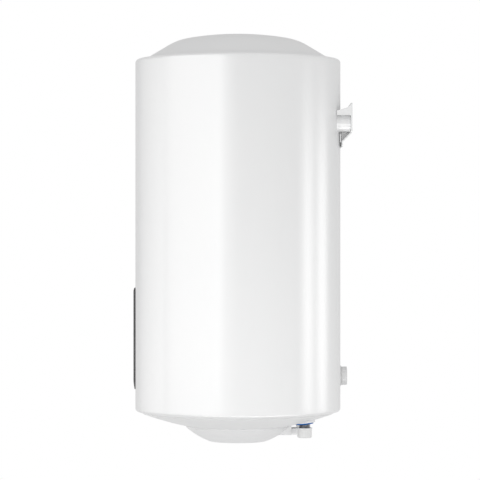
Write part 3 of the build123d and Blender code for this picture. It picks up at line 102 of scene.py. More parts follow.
@dataclass(frozen=True)
class NodeBox:
    """Lowest and highest corner of a CAD node at rest."""

    low: Array
    high: Array

    @classmethod
    def of(cls, node: str) -> "NodeBox":
        """Read the box of a CAD node by name."""
        low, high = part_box(node)
        return cls(np.array(low), np.array(high))

    @property
    def middle(self) -> Array:
        """Middle of the box."""
        return (self.low + self.high) / 2

    @property
    def size(self) -> Array:
        """Length of the box along each axis."""
        return self.high - self.low


def grid_faces(rows: int, columns: int, wrap_rows: bool, wrap_columns: bool) -> Array:
    """Quads of a grid of points, row by row.

    Args:
        rows: number of rows in the grid.
        columns: number of points in each row.
        wrap_rows: whether the last row joins the first.
        wrap_columns: whether the last column joins the first.

    Returns:
        Corner numbers, one row of four for each quad.
    """
    row = np.arange(rows if wrap_rows else rows - 1)
    column = np.arange(columns if wrap_columns else columns - 1)
    i, j = (a.ravel() for a in np.meshgrid(row, column, indexing="ij"))
    below = (i + 1) % rows
    beside = (j + 1) % columns
    corners = (i * columns + j, below * columns + j, below * columns + beside, i * columns + beside)
    return np.stack(corners, axis=1)


def placed(name: str, mesh: bpy.types.Mesh) -> bpy.types.Object:
    """Put a mesh into a new object at the origin, smoothly shaded between its sharp edges.

    Args:
        name: the piece's name.
        mesh: its mesh, already in place.

    Returns:
        The new object.
    """
    mesh.shade_smooth()
    mesh.set_sharp_from_angle(angle=SHARP_ANGLE)
    piece = bpy.data.objects.new(name, mesh)
    bpy.context.scene.collection.objects.link(piece)
    return piece


def make_piece(name: str, points: Array, faces: Array, closed: bool = True) -> bpy.types.Object:
    """Make a piece from points and quads, keeping the points in use and welding those that meet.

    Args:
        name: the piece's name.
        points: an array whose last axis is x, y, z in metres.
        faces: quads as corner numbers.
        closed: whether the surface is closed, so that its normals can be set outward.

    Returns:
        The new object.
    """
    used, corners = np.unique(faces, return_inverse=True)
    mesh = bpy.data.meshes.new(name)
    mesh.from_pydata(points.reshape(-1, 3)[used].tolist(), [], corners.reshape(faces.shape).tolist())
    cage = bmesh.new()
    cage.from_mesh(mesh)
    bmesh.ops.remove_doubles(cage, verts=cage.verts, dist=WELD_DISTANCE)
    if closed:
        bmesh.ops.recalc_face_normals(cage, faces=cage.faces)
    cage.to_mesh(mesh)
    cage.free()
    return placed(name, mesh)


def grid_piece(name: str, points: Array, wrap_rows: bool = False) -> bpy.types.Object:
    """Closed piece from a grid of points whose columns join up, and its rows too where asked."""
    faces = grid_faces(points.shape[0], points.shape[1], wrap_rows, wrap_columns=True)
    return make_piece(name, points, faces)


def capped(points: Array) -> Array:
    """Grid of points closed at both ends, by rows that are drawn together to the end rows' middles."""
    ends = np.broadcast_to(points[[0, -1]].mean(axis=1, keepdims=True), points[[0, -1]].shape)
    return np.concatenate((ends[:1], points, ends[1:]))


def arc(
    centre: Sequence[float], radius: float, start: float, end: float, steps: int = CURVE_STEPS
) -> Array:
    """Points of a circular arc: the centre plus the radius times (cos a, sin a), a in degrees."""
    angle = np.radians(np.linspace(start, end, steps + 1))
    return np.array(centre) + radius * np.stack((np.cos(angle), np.sin(angle)), axis=1)


def rounded(corners: Sequence[tuple[float, float, float]], steps: int = CURVE_STEPS) -> Array:
    """Closed outline through corners, each rounded by an arc that touches both its sides.

    Formula: with unit vectors p and q from the corner to its neighbours, the arc's ends lie
    radius / tan(half angle) along them, and its points turn evenly between its two end normals.

    Args:
        corners: (x, y, radius) of each corner in order; radius 0 keeps it sharp.
        steps: straight steps in each arc.

    Returns:
        The outline's points, one row each.
    """
    stretches = []
    place = np.array([corner[:2] for corner in corners])
    for index, (_, _, radius) in enumerate(corners):
        here = place[index]
        if radius == 0.0:
            stretches.append(here[None])
            continue
        p = place[index - 1] - here
        q = place[(index + 1) % len(corners)] - here
        p = p / np.linalg.norm(p)
        q = q / np.linalg.norm(q)
        half = math.acos(float(np.clip(p @ q, -1.0, 1.0))) / 2
        middle = (p + q) / np.linalg.norm(p + q)
        centre = here + middle * radius / math.sin(half)
        first = here + p * radius / math.tan(half) - centre
        last = here + q * radius / math.tan(half) - centre
        share = np.linspace(0.0, 1.0, steps + 1)[:, None]
        turn = math.pi - 2 * half
        spread = (np.sin((1 - share) * turn) * first + np.sin(share * turn) * last) / math.sin(turn)
        stretches.append(centre + spread)
    return np.concatenate(stretches)


def turned(profile: Array, columns: int, place: Sequence[float], axis: Axis = Axis.UP) -> Array:
    """Points of a profile turned about a line.

    Formula: the profile point (radius, height) at angle a goes to (radius cos a, radius sin a)
    across the line and to its height along the line.

    Args:
        profile: (radius, height) points, one row each.
        columns: steps round the full turn.
        place: a point on the line, from which the heights are measured.
        axis: direction of the line.

    Returns:
        A grid of points, profile point by angle.
    """
    angle = np.linspace(0.0, FULL_TURN, columns, endpoint=False)
    across = profile[:, :1] * np.cos(angle)
    beside = profile[:, :1] * np.sin(angle)
    along = np.broadcast_to(profile[:, 1:], across.shape)
    order = (across, beside, along) if axis is Axis.UP else (across, along, beside)
    return np.stack(order, axis=2) + np.array(place)


def turned_piece(
    name: str, profile: Array, columns: int, place: Sequence[float], axis: Axis = Axis.UP
) -> bpy.types.Object:
    """Closed piece turned from a closed outline, or from one that starts and ends on the line.

    Args:
        name: the piece's name.
        profile: (radius, height) points, one row each.
        columns: steps round the full turn.
        place: a point on the line, from which the heights are measured.
        axis: direction of the line.

    Returns:
        The new object.
    """
    on_line = profile[0, 0] == 0.0 and profile[-1, 0] == 0.0
    return grid_piece(name, turned(profile, columns, place, axis), wrap_rows=not on_line)


def slab_piece(name: str, outline: Array, face_y: float, depth: float) -> bpy.types.Object:
    """Flat slab whose outline in x and z is carried along y, closed at both ends by its middle point.

    Args:
        name: the piece's name.
        outline: (x, z) points of a closed outline that its middle point can see all round.
        face_y: y of the front face.
        depth: distance from the front face to the back face.

    Returns:
        The new object.
    """
    y = np.array([[face_y], [face_y + depth]])
    points = np.stack(np.broadcast_arrays(outline[:, 0], y, outline[:, 1]), axis=2)
    return grid_piece(name, capped(points))


def merged_copy(node: str, name: str) -> bpy.types.Object:
    """Copy of a CAD node with its loose triangles merged and its flat faces made whole.

    Args:
        node: the CAD node's name.
        name: the new piece's name.

    Returns:
        The new object.
    """
    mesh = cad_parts[node].data.copy()
    mesh.name = name
    kept_normals = mesh.attributes.get("custom_normal")
    if kept_normals is not None:
        mesh.attributes.remove(kept_normals)
    cage = bmesh.new()
    cage.from_mesh(mesh)
    bmesh.ops.remove_doubles(cage, verts=cage.verts, dist=MERGE_DISTANCE)
    bmesh.ops.dissolve_limit(cage, angle_limit=FLAT_ANGLE, verts=cage.verts, edges=cage.edges)
    cage.to_mesh(mesh)
    cage.free()
    return placed(name, mesh)


def soften_edges(piece: bpy.types.Object, width: float) -> None:
    """Give a piece small rounded edges.

    Args:
        piece: the piece.
        width: width of each rounded edge.
    """
    bevel = piece.modifiers.new("soft_edges", "BEVEL")
    bevel.width = width
    bevel.segments = BEVEL_STEPS
    bevel.limit_method = "ANGLE"
    bevel.angle_limit = BEVEL_ANGLE
    bevel.harden_normals = True


# Shader helpers


class Tree:
    """A node tree with short calls to add and join nodes."""

    def __init__(self, tree: bpy.types.NodeTree) -> None:
        """Start from an emptied tree."""
        self.tree = tree
        tree.nodes.clear()

    def add(self, kind: str, values: Optional[dict] = None, **settings: object) -> bpy.types.Node:
        """Add a node.

        Args:
            kind: Blender's name of the node type.
            values: input values, by name or number; a socket given as a value is joined.
            settings: node settings by name.

        Returns:
            The new node.
        """
        node = self.tree.nodes.new(kind)
        for name, value in settings.items():
            setattr(node, name, value)
        for key, value in (values or {}).items():
            socket = node.inputs[key]
            if isinstance(value, bpy.types.NodeSocket):
                self.tree.links.new(value, socket)
            else:
                socket.default_value = value
        return node

    def join(self, source: bpy.types.NodeSocket, target: bpy.types.NodeSocket) -> None:
        """Join an output to an input."""
        self.tree.links.new(source, target)

    def math(self, operation: str, first: object, second: object) -> bpy.types.NodeSocket:
        """Value of a two-input math node."""
        return self.add("ShaderNodeMath", {0: first, 1: second}, operation=operation).outputs[0]

    def blend(self, share: object, first: object, second: object) -> bpy.types.NodeSocket:
        """Colour mixed between two colours by a share."""
        node = self.add("ShaderNodeMix", {0: share, 6: first, 7: second}, data_type="RGBA")
        return node.outputs[2]

    def remap(
        self, value: object, limits: tuple[float, float], to: tuple[object, object]
    ) -> bpy.types.NodeSocket:
        """Value moved from one range of numbers to another, held at the ends."""
        values = {0: value, 1: limits[0], 2: limits[1], 3: to[0], 4: to[1]}
        return self.add("ShaderNodeMapRange", values).outputs[0]


def new_group(
    name: str, inputs: dict[str, str], outputs: dict[str, str]
) -> tuple[Tree, dict, bpy.types.Node]:
    """Empty shader group with named sockets.

    Args:
        name: the group's name.
        inputs: socket type of each input, by name.
        outputs: socket type of each output, by name.

    Returns:
        The tree, the input sockets by name, and the output node.
    """
    group = bpy.data.node_groups.new(name, "ShaderNodeTree")
    for label, kind in inputs.items():
        group.interface.new_socket(name=label, in_out="INPUT", socket_type=f"NodeSocket{kind}")
    for label, kind in outputs.items():
        group.interface.new_socket(name=label, in_out="OUTPUT", socket_type=f"NodeSocket{kind}")
    tree = Tree(group)
    start = tree.add("NodeGroupInput")
    end = tree.add("NodeGroupOutput")
    return tree, {label: start.outputs[label] for label in inputs}, end


class Effects:
    """Shader groups that several finishes share, each built once."""

    CLOUD_RANGE = (0.35, 0.7)
    MARK_RANGE = (0.3, 0.75)
    LINE_STRETCH = (0.06, 0.06, 1.0)

    def __init__(self) -> None:
        """Build every group."""
        self.tone = self.tone_group()
        self.handling = self.handling_group()
        self.relief = {
            Grain.PAINT_PEEL: self.peel_group(),
            Grain.MOULDED: self.moulded_group(),
            Grain.BRUSHED: self.brushed_group(),
            Grain.SPANGLE: self.spangle_group(),
        }

    @staticmethod
    def relief_start(name: str) -> tuple[Tree, dict, bpy.types.Node]:
        """Empty group that makes a height from a place and a scale."""
        return new_group(name, {"Vector": "Vector", "Scale": "Float"}, {"Height": "Float"})

    @staticmethod
    def clouds(tree: Tree, put: dict, detail: float) -> bpy.types.NodeSocket:
        """Cloud noise at a group's place and scale."""
        values = {"Vector": put["Vector"], "Scale": put["Scale"], "Detail": detail}
        return tree.add("ShaderNodeTexNoise", values).outputs[0]

    @staticmethod
    def cells(tree: Tree, put: dict) -> bpy.types.Node:
        """Cell pattern at a group's place and scale."""
        return tree.add("ShaderNodeTexVoronoi", {"Vector": put["Vector"], "Scale": put["Scale"]})

    def tone_group(self) -> bpy.types.NodeTree:
        """Colour that drifts between two tones in soft clouds.

        Returns:
            The group's tree.
        """
        kinds = {"Vector": "Vector", "Scale": "Float", "Colour": "Color", "Shade": "Color"}
        tree, put, end = new_group("tone_drift", kinds, {"Colour": "Color"})
        share = tree.remap(self.clouds(tree, put, detail=3.0), self.CLOUD_RANGE, (0.0, 1.0))
        tree.join(tree.blend(share, put["Colour"], put["Shade"]), end.inputs["Colour"])
        return tree.tree

    def handling_group(self) -> bpy.types.NodeTree:
        """Roughness that varies where hands and cloths have touched the surface.

        Returns:
            The group's tree.
        """
        kinds = {"Vector": "Vector", "Scale": "Float", "Smooth": "Float", "Rough": "Float"}
        tree, put, end = new_group("handling_marks", kinds, {"Roughness": "Float"})
        noise = self.clouds(tree, put, detail=4.0)
        value = tree.remap(noise, self.MARK_RANGE, (put["Smooth"], put["Rough"]))
        tree.join(value, end.inputs["Roughness"])
        return tree.tree

    def peel_group(self) -> bpy.types.NodeTree:
        """Soft ripples of sprayed and baked paint.

        Returns:
            The group's tree.
        """
        tree, put, end = self.relief_start("paint_peel")
        tree.join(self.clouds(tree, put, detail=1.0), end.inputs["Height"])
        return tree.tree

    def moulded_group(self) -> bpy.types.NodeTree:
        """Fine pits that a spark-eroded mould leaves in plastic.

        Returns:
            The group's tree.
        """
        tree, put, end = self.relief_start("moulded_grain")
        distance = self.cells(tree, put).outputs["Distance"]
        noise = self.clouds(tree, put, detail=2.0)
        tree.join(tree.math("MULTIPLY", distance, noise), end.inputs["Height"])
        return tree.tree

    def brushed_group(self) -> bpy.types.NodeTree:
        """Fine lines that run round a turned or drawn metal piece.

        Returns:
            The group's tree.
        """
        tree, put, end = self.relief_start("brushed_lines")
        squeeze = tree.add("ShaderNodeMapping", {"Vector": put["Vector"], "Scale": self.LINE_STRETCH})
        put["Vector"] = squeeze.outputs[0]
        tree.join(self.clouds(tree, put, detail=3.0), end.inputs["Height"])
        return tree.tree

    def spangle_group(self) -> bpy.types.NodeTree:
        """Flat crystals of a zinc coat.

        Returns:
            The group's tree.
        """
        tree, put, end = self.relief_start("zinc_spangle")
        tone = tree.add("ShaderNodeRGBToBW", {"Color": self.cells(tree, put).outputs["Color"]})
        tree.join(tone.outputs[0], end.inputs["Height"])
        return tree.tree


@dataclass(frozen=True)
class Finish:
    """One surface finish: its two tones, its gloss and its small relief."""

    colour: Colour
    shade: Colour
    gloss: tuple[float, float]
    grain: Grain
    grain_scale: float
    grain_depth: float
    tone_scale: float = 9.0
    metallic: float = 0.0
    specular: float = 0.5
    coat: float = 0.0
    coat_roughness: float = 0.1
    coat_ior: float = 1.5
    coat_at_edge: Optional[float] = None
    transmission: float = 0.0
    glow: Glow = Glow.NONE

    EDGE_RANGE = (0.35, 0.8)

    def material(self, name: str, effects: Effects) -> bpy.types.Material:
        """Build the Blender material of this finish.

        Args:
            name: the material's name.
            effects: the shared shader groups.

        Returns:
            The new material.
        """
        material = bpy.data.materials.new(name)
        material.use_nodes = True
        tree = Tree(material.node_tree)
        end = tree.add("ShaderNodeOutputMaterial")
        place = tree.add("ShaderNodeTexCoord").outputs["Object"]
        tone = tree.add("ShaderNodeGroup", node_tree=effects.tone)
        marks = tree.add("ShaderNodeGroup", node_tree=effects.handling)
        relief = tree.add("ShaderNodeGroup", node_tree=effects.relief[self.grain])
        for group in (tone, marks, relief):
            tree.join(place, group.inputs["Vector"])
        tone.inputs["Scale"].default_value = self.tone_scale
        tone.inputs["Colour"].default_value = (*self.colour, 1.0)
        tone.inputs["Shade"].default_value = (*self.shade, 1.0)
        marks.inputs["Scale"].default_value = self.tone_scale
        marks.inputs["Smooth"].default_value = self.gloss[0]
        marks.inputs["Rough"].default_value = self.gloss[1]
        relief.inputs["Scale"].default_value = self.grain_scale
        height = relief.outputs["Height"]
        bump = tree.add("ShaderNodeBump", {"Height": height, "Distance": self.grain_depth})
        shader = tree.add(
            "ShaderNodeBsdfPrincipled",
            {
                "Base Color": tone.outputs["Colour"],
                "Roughness": marks.outputs["Roughness"],
                "Metallic": self.metallic,
                "Specular IOR Level": self.specular,
                "Coat Weight": self.coat,
                "Coat Roughness": self.coat_roughness,
                "Coat IOR": self.coat_ior,
                "Transmission Weight": self.transmission,
                "Normal": bump.outputs["Normal"],
            },
        )
        if self.coat_at_edge is not None:
            facing = tree.add("ShaderNodeLayerWeight").outputs["Facing"]
            weight = tree.remap(facing, self.EDGE_RANGE, (self.coat, self.coat_at_edge))
            tree.join(weight, shader.inputs["Coat Weight"])
        if self.glow is not Glow.NONE:
            tree.join(tone.outputs["Colour"], shader.inputs["Emission Color"])
            shader.inputs["Emission Strength"].default_value = self.glow.value
        tree.join(shader.outputs["BSDF"], end.inputs["Surface"])
        return material


FINISHES: dict[str, Finish] = {
    "white_steel": Finish(
        (0.80, 0.80, 0.80), (0.785, 0.788, 0.79), (0.50, 0.55), Grain.PAINT_PEEL,
        grain_scale=420.0, grain_depth=0.02 * MM, tone_scale=5.0, specular=0.0, coat=1.0,
        coat_roughness=0.25, coat_ior=2.6, coat_at_edge=0.0,
    ),
    "white_plastic": Finish(
        (0.76, 0.76, 0.76), (0.745, 0.747, 0.75), (0.34, 0.40), Grain.MOULDED,
        grain_scale=900.0, grain_depth=0.04 * MM, tone_scale=7.0,
    ),
    # Lighter copy of white_plastic for the cable clamp: the extra brightness is painted light that offsets
    # the shade the clamp sits in under the dish.
    "clamp_plastic_painted_light": Finish(
        (0.88, 0.88, 0.88), (0.85, 0.852, 0.855), (0.34, 0.42), Grain.MOULDED,
        grain_scale=1200.0, grain_depth=0.04 * MM, tone_scale=40.0,
    ),
    "cap_plastic": Finish(
        (0.75, 0.75, 0.745), (0.72, 0.725, 0.72), (0.38, 0.46), Grain.MOULDED,
        grain_scale=1400.0, grain_depth=0.05 * MM, tone_scale=40.0,
    ),
    "bracket_steel": Finish(
        (0.93, 0.93, 0.93), (0.88, 0.885, 0.89), (0.20, 0.26), Grain.SPANGLE,
        grain_scale=140.0, grain_depth=0.01 * MM, tone_scale=30.0, metallic=0.4, specular=0.3,
    ),
    "bush_steel": Finish(
        (0.93, 0.93, 0.93), (0.88, 0.885, 0.89), (0.28, 0.34), Grain.SPANGLE,
        grain_scale=140.0, grain_depth=0.01 * MM, tone_scale=30.0, metallic=0.4, specular=0.3,
    ),
    "zinc_steel": Finish(
        (0.42, 0.43, 0.45), (0.34, 0.35, 0.37), (0.36, 0.46), Grain.BRUSHED,
        grain_scale=900.0, grain_depth=0.03 * MM, tone_scale=60.0, metallic=1.0,
    ),
    "raw_steel": Finish(
        (0.34, 0.34, 0.35), (0.20, 0.20, 0.21), (0.26, 0.42), Grain.BRUSHED,
        grain_scale=1500.0, grain_depth=0.03 * MM, tone_scale=120.0, metallic=1.0,
    ),
    "enamel": Finish(
        (0.06, 0.12, 0.26), (0.04, 0.09, 0.20), (0.22, 0.30), Grain.PAINT_PEEL,
        grain_scale=300.0, grain_depth=0.05 * MM, tone_scale=12.0,
    ),
    "foam": Finish(
        (0.84, 0.72, 0.46), (0.76, 0.62, 0.36), (0.85, 0.95), Grain.MOULDED,
        grain_scale=350.0, grain_depth=0.6 * MM, tone_scale=22.0,
    ),
    "seal_rubber": Finish(
        (0.020, 0.020, 0.021), (0.035, 0.035, 0.036), (0.60, 0.75), Grain.MOULDED,
        grain_scale=1100.0, grain_depth=0.06 * MM, tone_scale=30.0,
    ),
    "element_tube": Finish(
        (0.56, 0.54, 0.50), (0.40, 0.37, 0.34), (0.30, 0.45), Grain.BRUSHED,
        grain_scale=700.0, grain_depth=0.03 * MM, tone_scale=20.0, metallic=1.0,
    ),
    "anode_metal": Finish(
        (0.62, 0.62, 0.62), (0.50, 0.50, 0.51), (0.50, 0.65), Grain.MOULDED,
        grain_scale=400.0, grain_depth=0.2 * MM, tone_scale=25.0, metallic=0.9,
    ),
    "brass": Finish(
        (0.78, 0.58, 0.26), (0.62, 0.43, 0.17), (0.25, 0.38), Grain.BRUSHED,
        grain_scale=900.0, grain_depth=0.03 * MM, tone_scale=60.0, metallic=1.0,
    ),
    "blue_plastic": Finish(
        (0.006, 0.125, 0.43), (0.005, 0.105, 0.37), (0.44, 0.54), Grain.MOULDED,
        grain_scale=1500.0, grain_depth=0.04 * MM, tone_scale=90.0, specular=0.1,
    ),
    "red_plastic": Finish(
        (0.55, 0.016, 0.014), (0.42, 0.012, 0.011), (0.44, 0.54), Grain.MOULDED,
        grain_scale=1500.0, grain_depth=0.04 * MM, tone_scale=90.0, specular=0.25,
    ),
    "dark_plastic": Finish(
        (0.092, 0.092, 0.094), (0.108, 0.108, 0.110), (0.42, 0.52), Grain.MOULDED,
        grain_scale=1300.0, grain_depth=0.05 * MM, tone_scale=30.0,
    ),
    "strip_gloss": Finish(
        (0.010, 0.010, 0.011), (0.014, 0.014, 0.015), (0.10, 0.17), Grain.PAINT_PEEL,
        grain_scale=240.0, grain_depth=0.01 * MM, tone_scale=25.0, specular=0.3, coat=0.1,
        coat_roughness=0.05,
    ),
    "smoked_glass": Finish(
        (0.16, 0.16, 0.17), (0.14, 0.14, 0.15), (0.03, 0.07), Grain.PAINT_PEEL,
        grain_scale=200.0, grain_depth=0.005 * MM, tone_scale=25.0, transmission=1.0,
    ),
    "lens": Finish(
        (0.62, 0.66, 0.70), (0.52, 0.56, 0.60), (0.12, 0.20), Grain.PAINT_PEEL,
        grain_scale=800.0, grain_depth=0.02 * MM, tone_scale=200.0,
    ),
    "button_plastic": Finish(
        (0.030, 0.030, 0.032), (0.040, 0.040, 0.042), (0.30, 0.40), Grain.MOULDED,
        grain_scale=1700.0, grain_depth=0.04 * MM, tone_scale=80.0,
    ),
    "board": Finish(
        (0.012, 0.15, 0.045), (0.010, 0.11, 0.035), (0.40, 0.50), Grain.MOULDED,
        grain_scale=900.0, grain_depth=0.04 * MM, tone_scale=60.0,
    ),
    "reset_red": Finish(
        (0.48, 0.014, 0.012), (0.40, 0.012, 0.010), (0.30, 0.40), Grain.MOULDED,
        grain_scale=1500.0, grain_depth=0.03 * MM, tone_scale=90.0,
    ),
    "grey_plastic": Finish(
        (0.70, 0.70, 0.70), (0.66, 0.665, 0.67), (0.42, 0.52), Grain.MOULDED,
        grain_scale=1100.0, grain_depth=0.06 * MM, tone_scale=40.0,
    ),
    "lead_rubber": Finish(
        (0.36, 0.36, 0.36), (0.30, 0.30, 0.30), (0.55, 0.68), Grain.MOULDED,
        grain_scale=1200.0, grain_depth=0.06 * MM, tone_scale=50.0,
    ),
    "print_white": Finish(
        (0.72, 0.73, 0.74), (0.66, 0.67, 0.68), (0.45, 0.55), Grain.MOULDED,
        grain_scale=2000.0, grain_depth=0.02 * MM, tone_scale=150.0,
    ),
    "lit_segment": Finish(
        (0.55, 0.80, 1.0), (0.48, 0.72, 0.95), (0.40, 0.50), Grain.MOULDED,
        grain_scale=2000.0, grain_depth=0.02 * MM, tone_scale=150.0, glow=Glow.LIT,
    ),
}


class Wardrobe:
    """Gives each piece and each CAD node its finish, building each material once."""

    def __init__(self) -> None:
        """Build the shared groups and start with no materials."""
        self.effects = Effects()
        self.made: dict[str, bpy.types.Material] = {}

    def material(self, finish: str) -> bpy.types.Material:
        """Material of a finish by name, built at its first use.

        Args:
            finish: the finish's name.

        Returns:
            The material.
        """
        if finish not in self.made:
            self.made[finish] = FINISHES[finish].material(f"finish_{finish}", self.effects)
        return self.made[finish]

    def dress(self, piece: bpy.types.Object, finish: str) -> None:
        """Give a whole piece one finish."""
        piece.data.materials.clear()
        piece.data.materials.append(self.material(finish))

    def fit(
        self, piece: bpy.types.Object, finish: str, stands_for: Sequence[str] = (),
        body: str = MAIN_BODY,
    ) -> None:
        """Dress a new piece, seat it on its body and hide the CAD nodes it stands for.

        Args:
            piece: the new piece.
            finish: the finish it wears.
            stands_for: CAD nodes that it replaces.
            body: CAD body that it moves with.
        """
        self.dress(piece, finish)
        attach(piece, body)
        if stands_for:
            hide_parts(*stands_for)
        LOG.info("%s: %d faces, finish %s, body %s", piece.name, len(piece.data.polygons), finish, body)

    def dress_nodes(self) -> None:
        """Give every CAD node the finish of its material slot."""
        for name, node in sorted(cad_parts.items()):
            for slot in node.material_slots:
                slot.material = self.material(slot.material.name)
            if not node.hide_render:
                LOG.info("%s: CAD node, finish %s", name, node.material_slots[0].material.name)


# Sub-assemblies


@dataclass
class Casing:
    """Painted sheet jacket with rolled rims, its seam, and the domed top cover."""

    rim_radius: float = 5.5 * MM
    sheet: float = 0.8 * MM
    gap: float = 0.3 * MM
    seam_width: float = 8.0 * MM
    seam_height: float = 0.8 * MM
    seam_angle: float = 125.0
    seam_margin: float = 19.0 * MM
    cover_flange: float = 6.0 * MM
    dish_flange: float = 3.0 * MM
    cover_wall: float = 2.2 * MM
    dome_slope: float = 31.0
    dome_crown: float = 560.0 * MM
    dome_knuckle: float = 95.0 * MM
    dome_edge: float = 0.6 * MM
    socket_hole: float = 12.5 * MM
    columns: int = 240
    cut_columns: int = 8
    rows: int = 130
    seam_steps: int = 4
    crown_steps: int = 28
    knuckle_steps: int = 16

    def __post_init__(self) -> None:
        """Take the main sizes from the frame."""
        jacket = NodeBox.of("casing_jacket")
        self.radius: float = jacket.size[0] / 2
        self.axis_y: float = jacket.middle[1]
        self.top: float = jacket.high[2]
        self.bottom: float = jacket.low[2]
        self.dome_radius: float = NodeBox.of("top_cover").size[0] / 2 - self.cover_flange
        self.lip_radius: float = NodeBox.of("bottom_cover").size[0] / 2 - self.dish_flange

    def rim_profile(self) -> tuple[Array, Array]:
        """Outer line of the jacket: its two rolled rims as arcs and a straight wall between them.

        Returns:
            The line's (radius, height) points from the top edge down, and the cut-out's two heights.
        """
        box = NodeBox.of("control_box")
        cut = np.array([box.low[2] - self.gap, box.high[2] + self.gap])
        straight = np.linspace(self.bottom + self.rim_radius, self.top - self.rim_radius, self.rows)
        heights = np.sort(np.concatenate((straight, cut)))[::-1]
        bend = self.radius - self.rim_radius
        upper = arc((bend, self.top - self.rim_radius), self.rim_radius, 90.0, 0.0)[:-1]
        wall = np.stack((np.full(len(heights), self.radius), heights), axis=1)
        lower = arc((bend, self.bottom + self.rim_radius), self.rim_radius, 0.0, -90.0)[1:]
        first = np.array([[self.dome_radius + self.gap, self.top]])
        last = np.array([[self.lip_radius + self.gap, self.bottom]])
        return np.concatenate((first, upper, wall, lower, last)), cut

    def build_jacket(self) -> bpy.types.Object:
        """Sheet jacket: a rim-to-rim line turned about the tank axis, with its two openings left out.

        Formula: the line's (radius, height) turned by angle; quads whose middle lies in the
        control box's opening or the spacer's round hole are dropped; the sheet is then thickened inward.

        Returns:
            The jacket.
        """
        profile, cut = self.rim_profile()
        box = NodeBox.of("control_box")
        front = -math.pi / 2
        half = math.asin((box.size[0] / 2 + self.gap) / self.radius)
        opening = np.linspace(front - half, front + half, self.cut_columns + 1)
        rest = np.linspace(front + half, front - half + FULL_TURN, self.columns)[1:-1]
        angle = np.concatenate((opening, rest))
        across = profile[:, :1] * np.cos(angle)
        beside = profile[:, :1] * np.sin(angle) + self.axis_y
        points = np.stack(np.broadcast_arrays(across, beside, profile[:, 1:]), axis=2)
        faces = grid_faces(len(profile), len(angle), wrap_rows=False, wrap_columns=True)
        middle = points.reshape(-1, 3)[faces].mean(axis=1)
        spacer = NodeBox.of("spacer_socket").middle
        in_box = (np.abs(middle[:, 0]) < box.size[0] / 2) & (middle[:, 1] < self.axis_y)
        in_box &= (middle[:, 2] > cut[0]) & (middle[:, 2] < cut[1])
        in_hole = np.hypot(middle[:, 0] - spacer[0], middle[:, 2] - spacer[2]) < self.socket_hole
        in_hole &= middle[:, 1] > self.axis_y
        piece = make_piece("jacket_sheet", points, faces[~(in_box | in_hole)], closed=False)
        wall = piece.modifiers.new("sheet_thickness", "SOLIDIFY")
        wall.thickness = self.sheet
        wall.offset = -1.0
        return piece

    def build_seam(self) -> bpy.types.Object:
        """Folded seam: a rounded bar section carried down the back of the jacket, closed at its ends.

        Formula: the section's (across, out) point goes to out along the seam's direction from the tank
        axis and to across beside it, at the seam's low and high end.

        Returns:
            The seam.
        """
        half = self.seam_width / 2
        inner = self.radius - self.sheet / 2
        outer = self.radius + self.seam_height
        soft = self.seam_height / 2
        corners = [(-half, inner, 0.0), (half, inner, 0.0), (half, outer, soft), (-half, outer, soft)]
        across, out = rounded(corners, self.seam_steps).T
        turn = math.radians(self.seam_angle)
        x = out * math.cos(turn) - across * math.sin(turn)
        y = out * math.sin(turn) + across * math.cos(turn) + self.axis_y
        height = np.array([[self.bottom + self.seam_margin], [self.top - self.seam_margin]])
        return grid_piece("jacket_seam", capped(np.stack(np.broadcast_arrays(x, y, height), axis=2)))

    def dome_line(self, drop: float) -> Array:
        """Outer line of the domed cover from its middle to its flank, moved down.

        Formula: a wide crown arc about the axis, then a knuckle arc that touches both the crown and a
        straight flank which leaves the rim at the flank's slope.

        Args:
            drop: how far the line is moved down.

        Returns:
            The line's (radius, height) points.
        """
        apex = NodeBox.of("top_cover").high[2]
        lean = math.radians(self.dome_slope)
        crown_z = apex - self.dome_crown
        reach = self.dome_radius * math.sin(lean) + self.top * math.cos(lean)
        level = reach - self.dome_knuckle - crown_z * math.cos(lean)
        between = math.sqrt((self.dome_crown - self.dome_knuckle) ** 2 - level**2)
        along = -crown_z * math.sin(lean) - between
        centre_r = math.sin(lean) * (reach - self.dome_knuckle) + math.cos(lean) * along
        centre_z = math.cos(lean) * (reach - self.dome_knuckle) - math.sin(lean) * along
        shoulder = math.degrees(math.atan2(centre_z - crown_z, centre_r))
        crown = arc((0.0, crown_z), self.dome_crown, 90.0, shoulder, self.crown_steps)
        crown[0, 0] = 0.0
        flank = 90.0 - self.dome_slope
        knuckle = arc((centre_r, centre_z), self.dome_knuckle, shoulder, flank, self.knuckle_steps)
        return np.concatenate((crown, knuckle[1:])) - np.array([0.0, drop])

    def build_dome(self) -> bpy.types.Object:
        """Domed top cover: its outer line, skirt and flange, and its inner line, turned about the axis.

        Returns:
            The cover.
        """
        low = NodeBox.of("top_cover").low[2]
        slope = math.tan(math.radians(self.dome_slope))
        inside = self.dome_radius - self.cover_wall
        flank = self.top + self.cover_wall * slope - self.cover_wall
        flange = self.dome_radius + self.cover_flange
        corner = np.array([
            [self.dome_radius - self.dome_edge, self.top + self.dome_edge * slope],
            [self.dome_radius, self.top - self.dome_edge],
            [self.dome_radius, low + self.cover_wall],
            [flange, low + self.cover_wall],
            [flange, low],
            [inside, low],
            [inside, flank],
        ])
        line = np.concatenate((self.dome_line(0.0), corner, self.dome_line(self.cover_wall)[::-1]))
        return turned_piece("top_dome", line, self.columns, (0.0, self.axis_y, 0.0))

    def build(self, wardrobe: Wardrobe) -> None:
        """Build and fit the jacket, its seam and the dome.

        Args:
            wardrobe: dresses and seats the pieces.
        """
        wardrobe.fit(self.build_jacket(), "white_steel", ["casing_jacket"])
        wardrobe.fit(self.build_seam(), "white_steel", ["casing_jacket"])
        wardrobe.fit(self.build_dome(), "white_plastic", ["top_cover"])


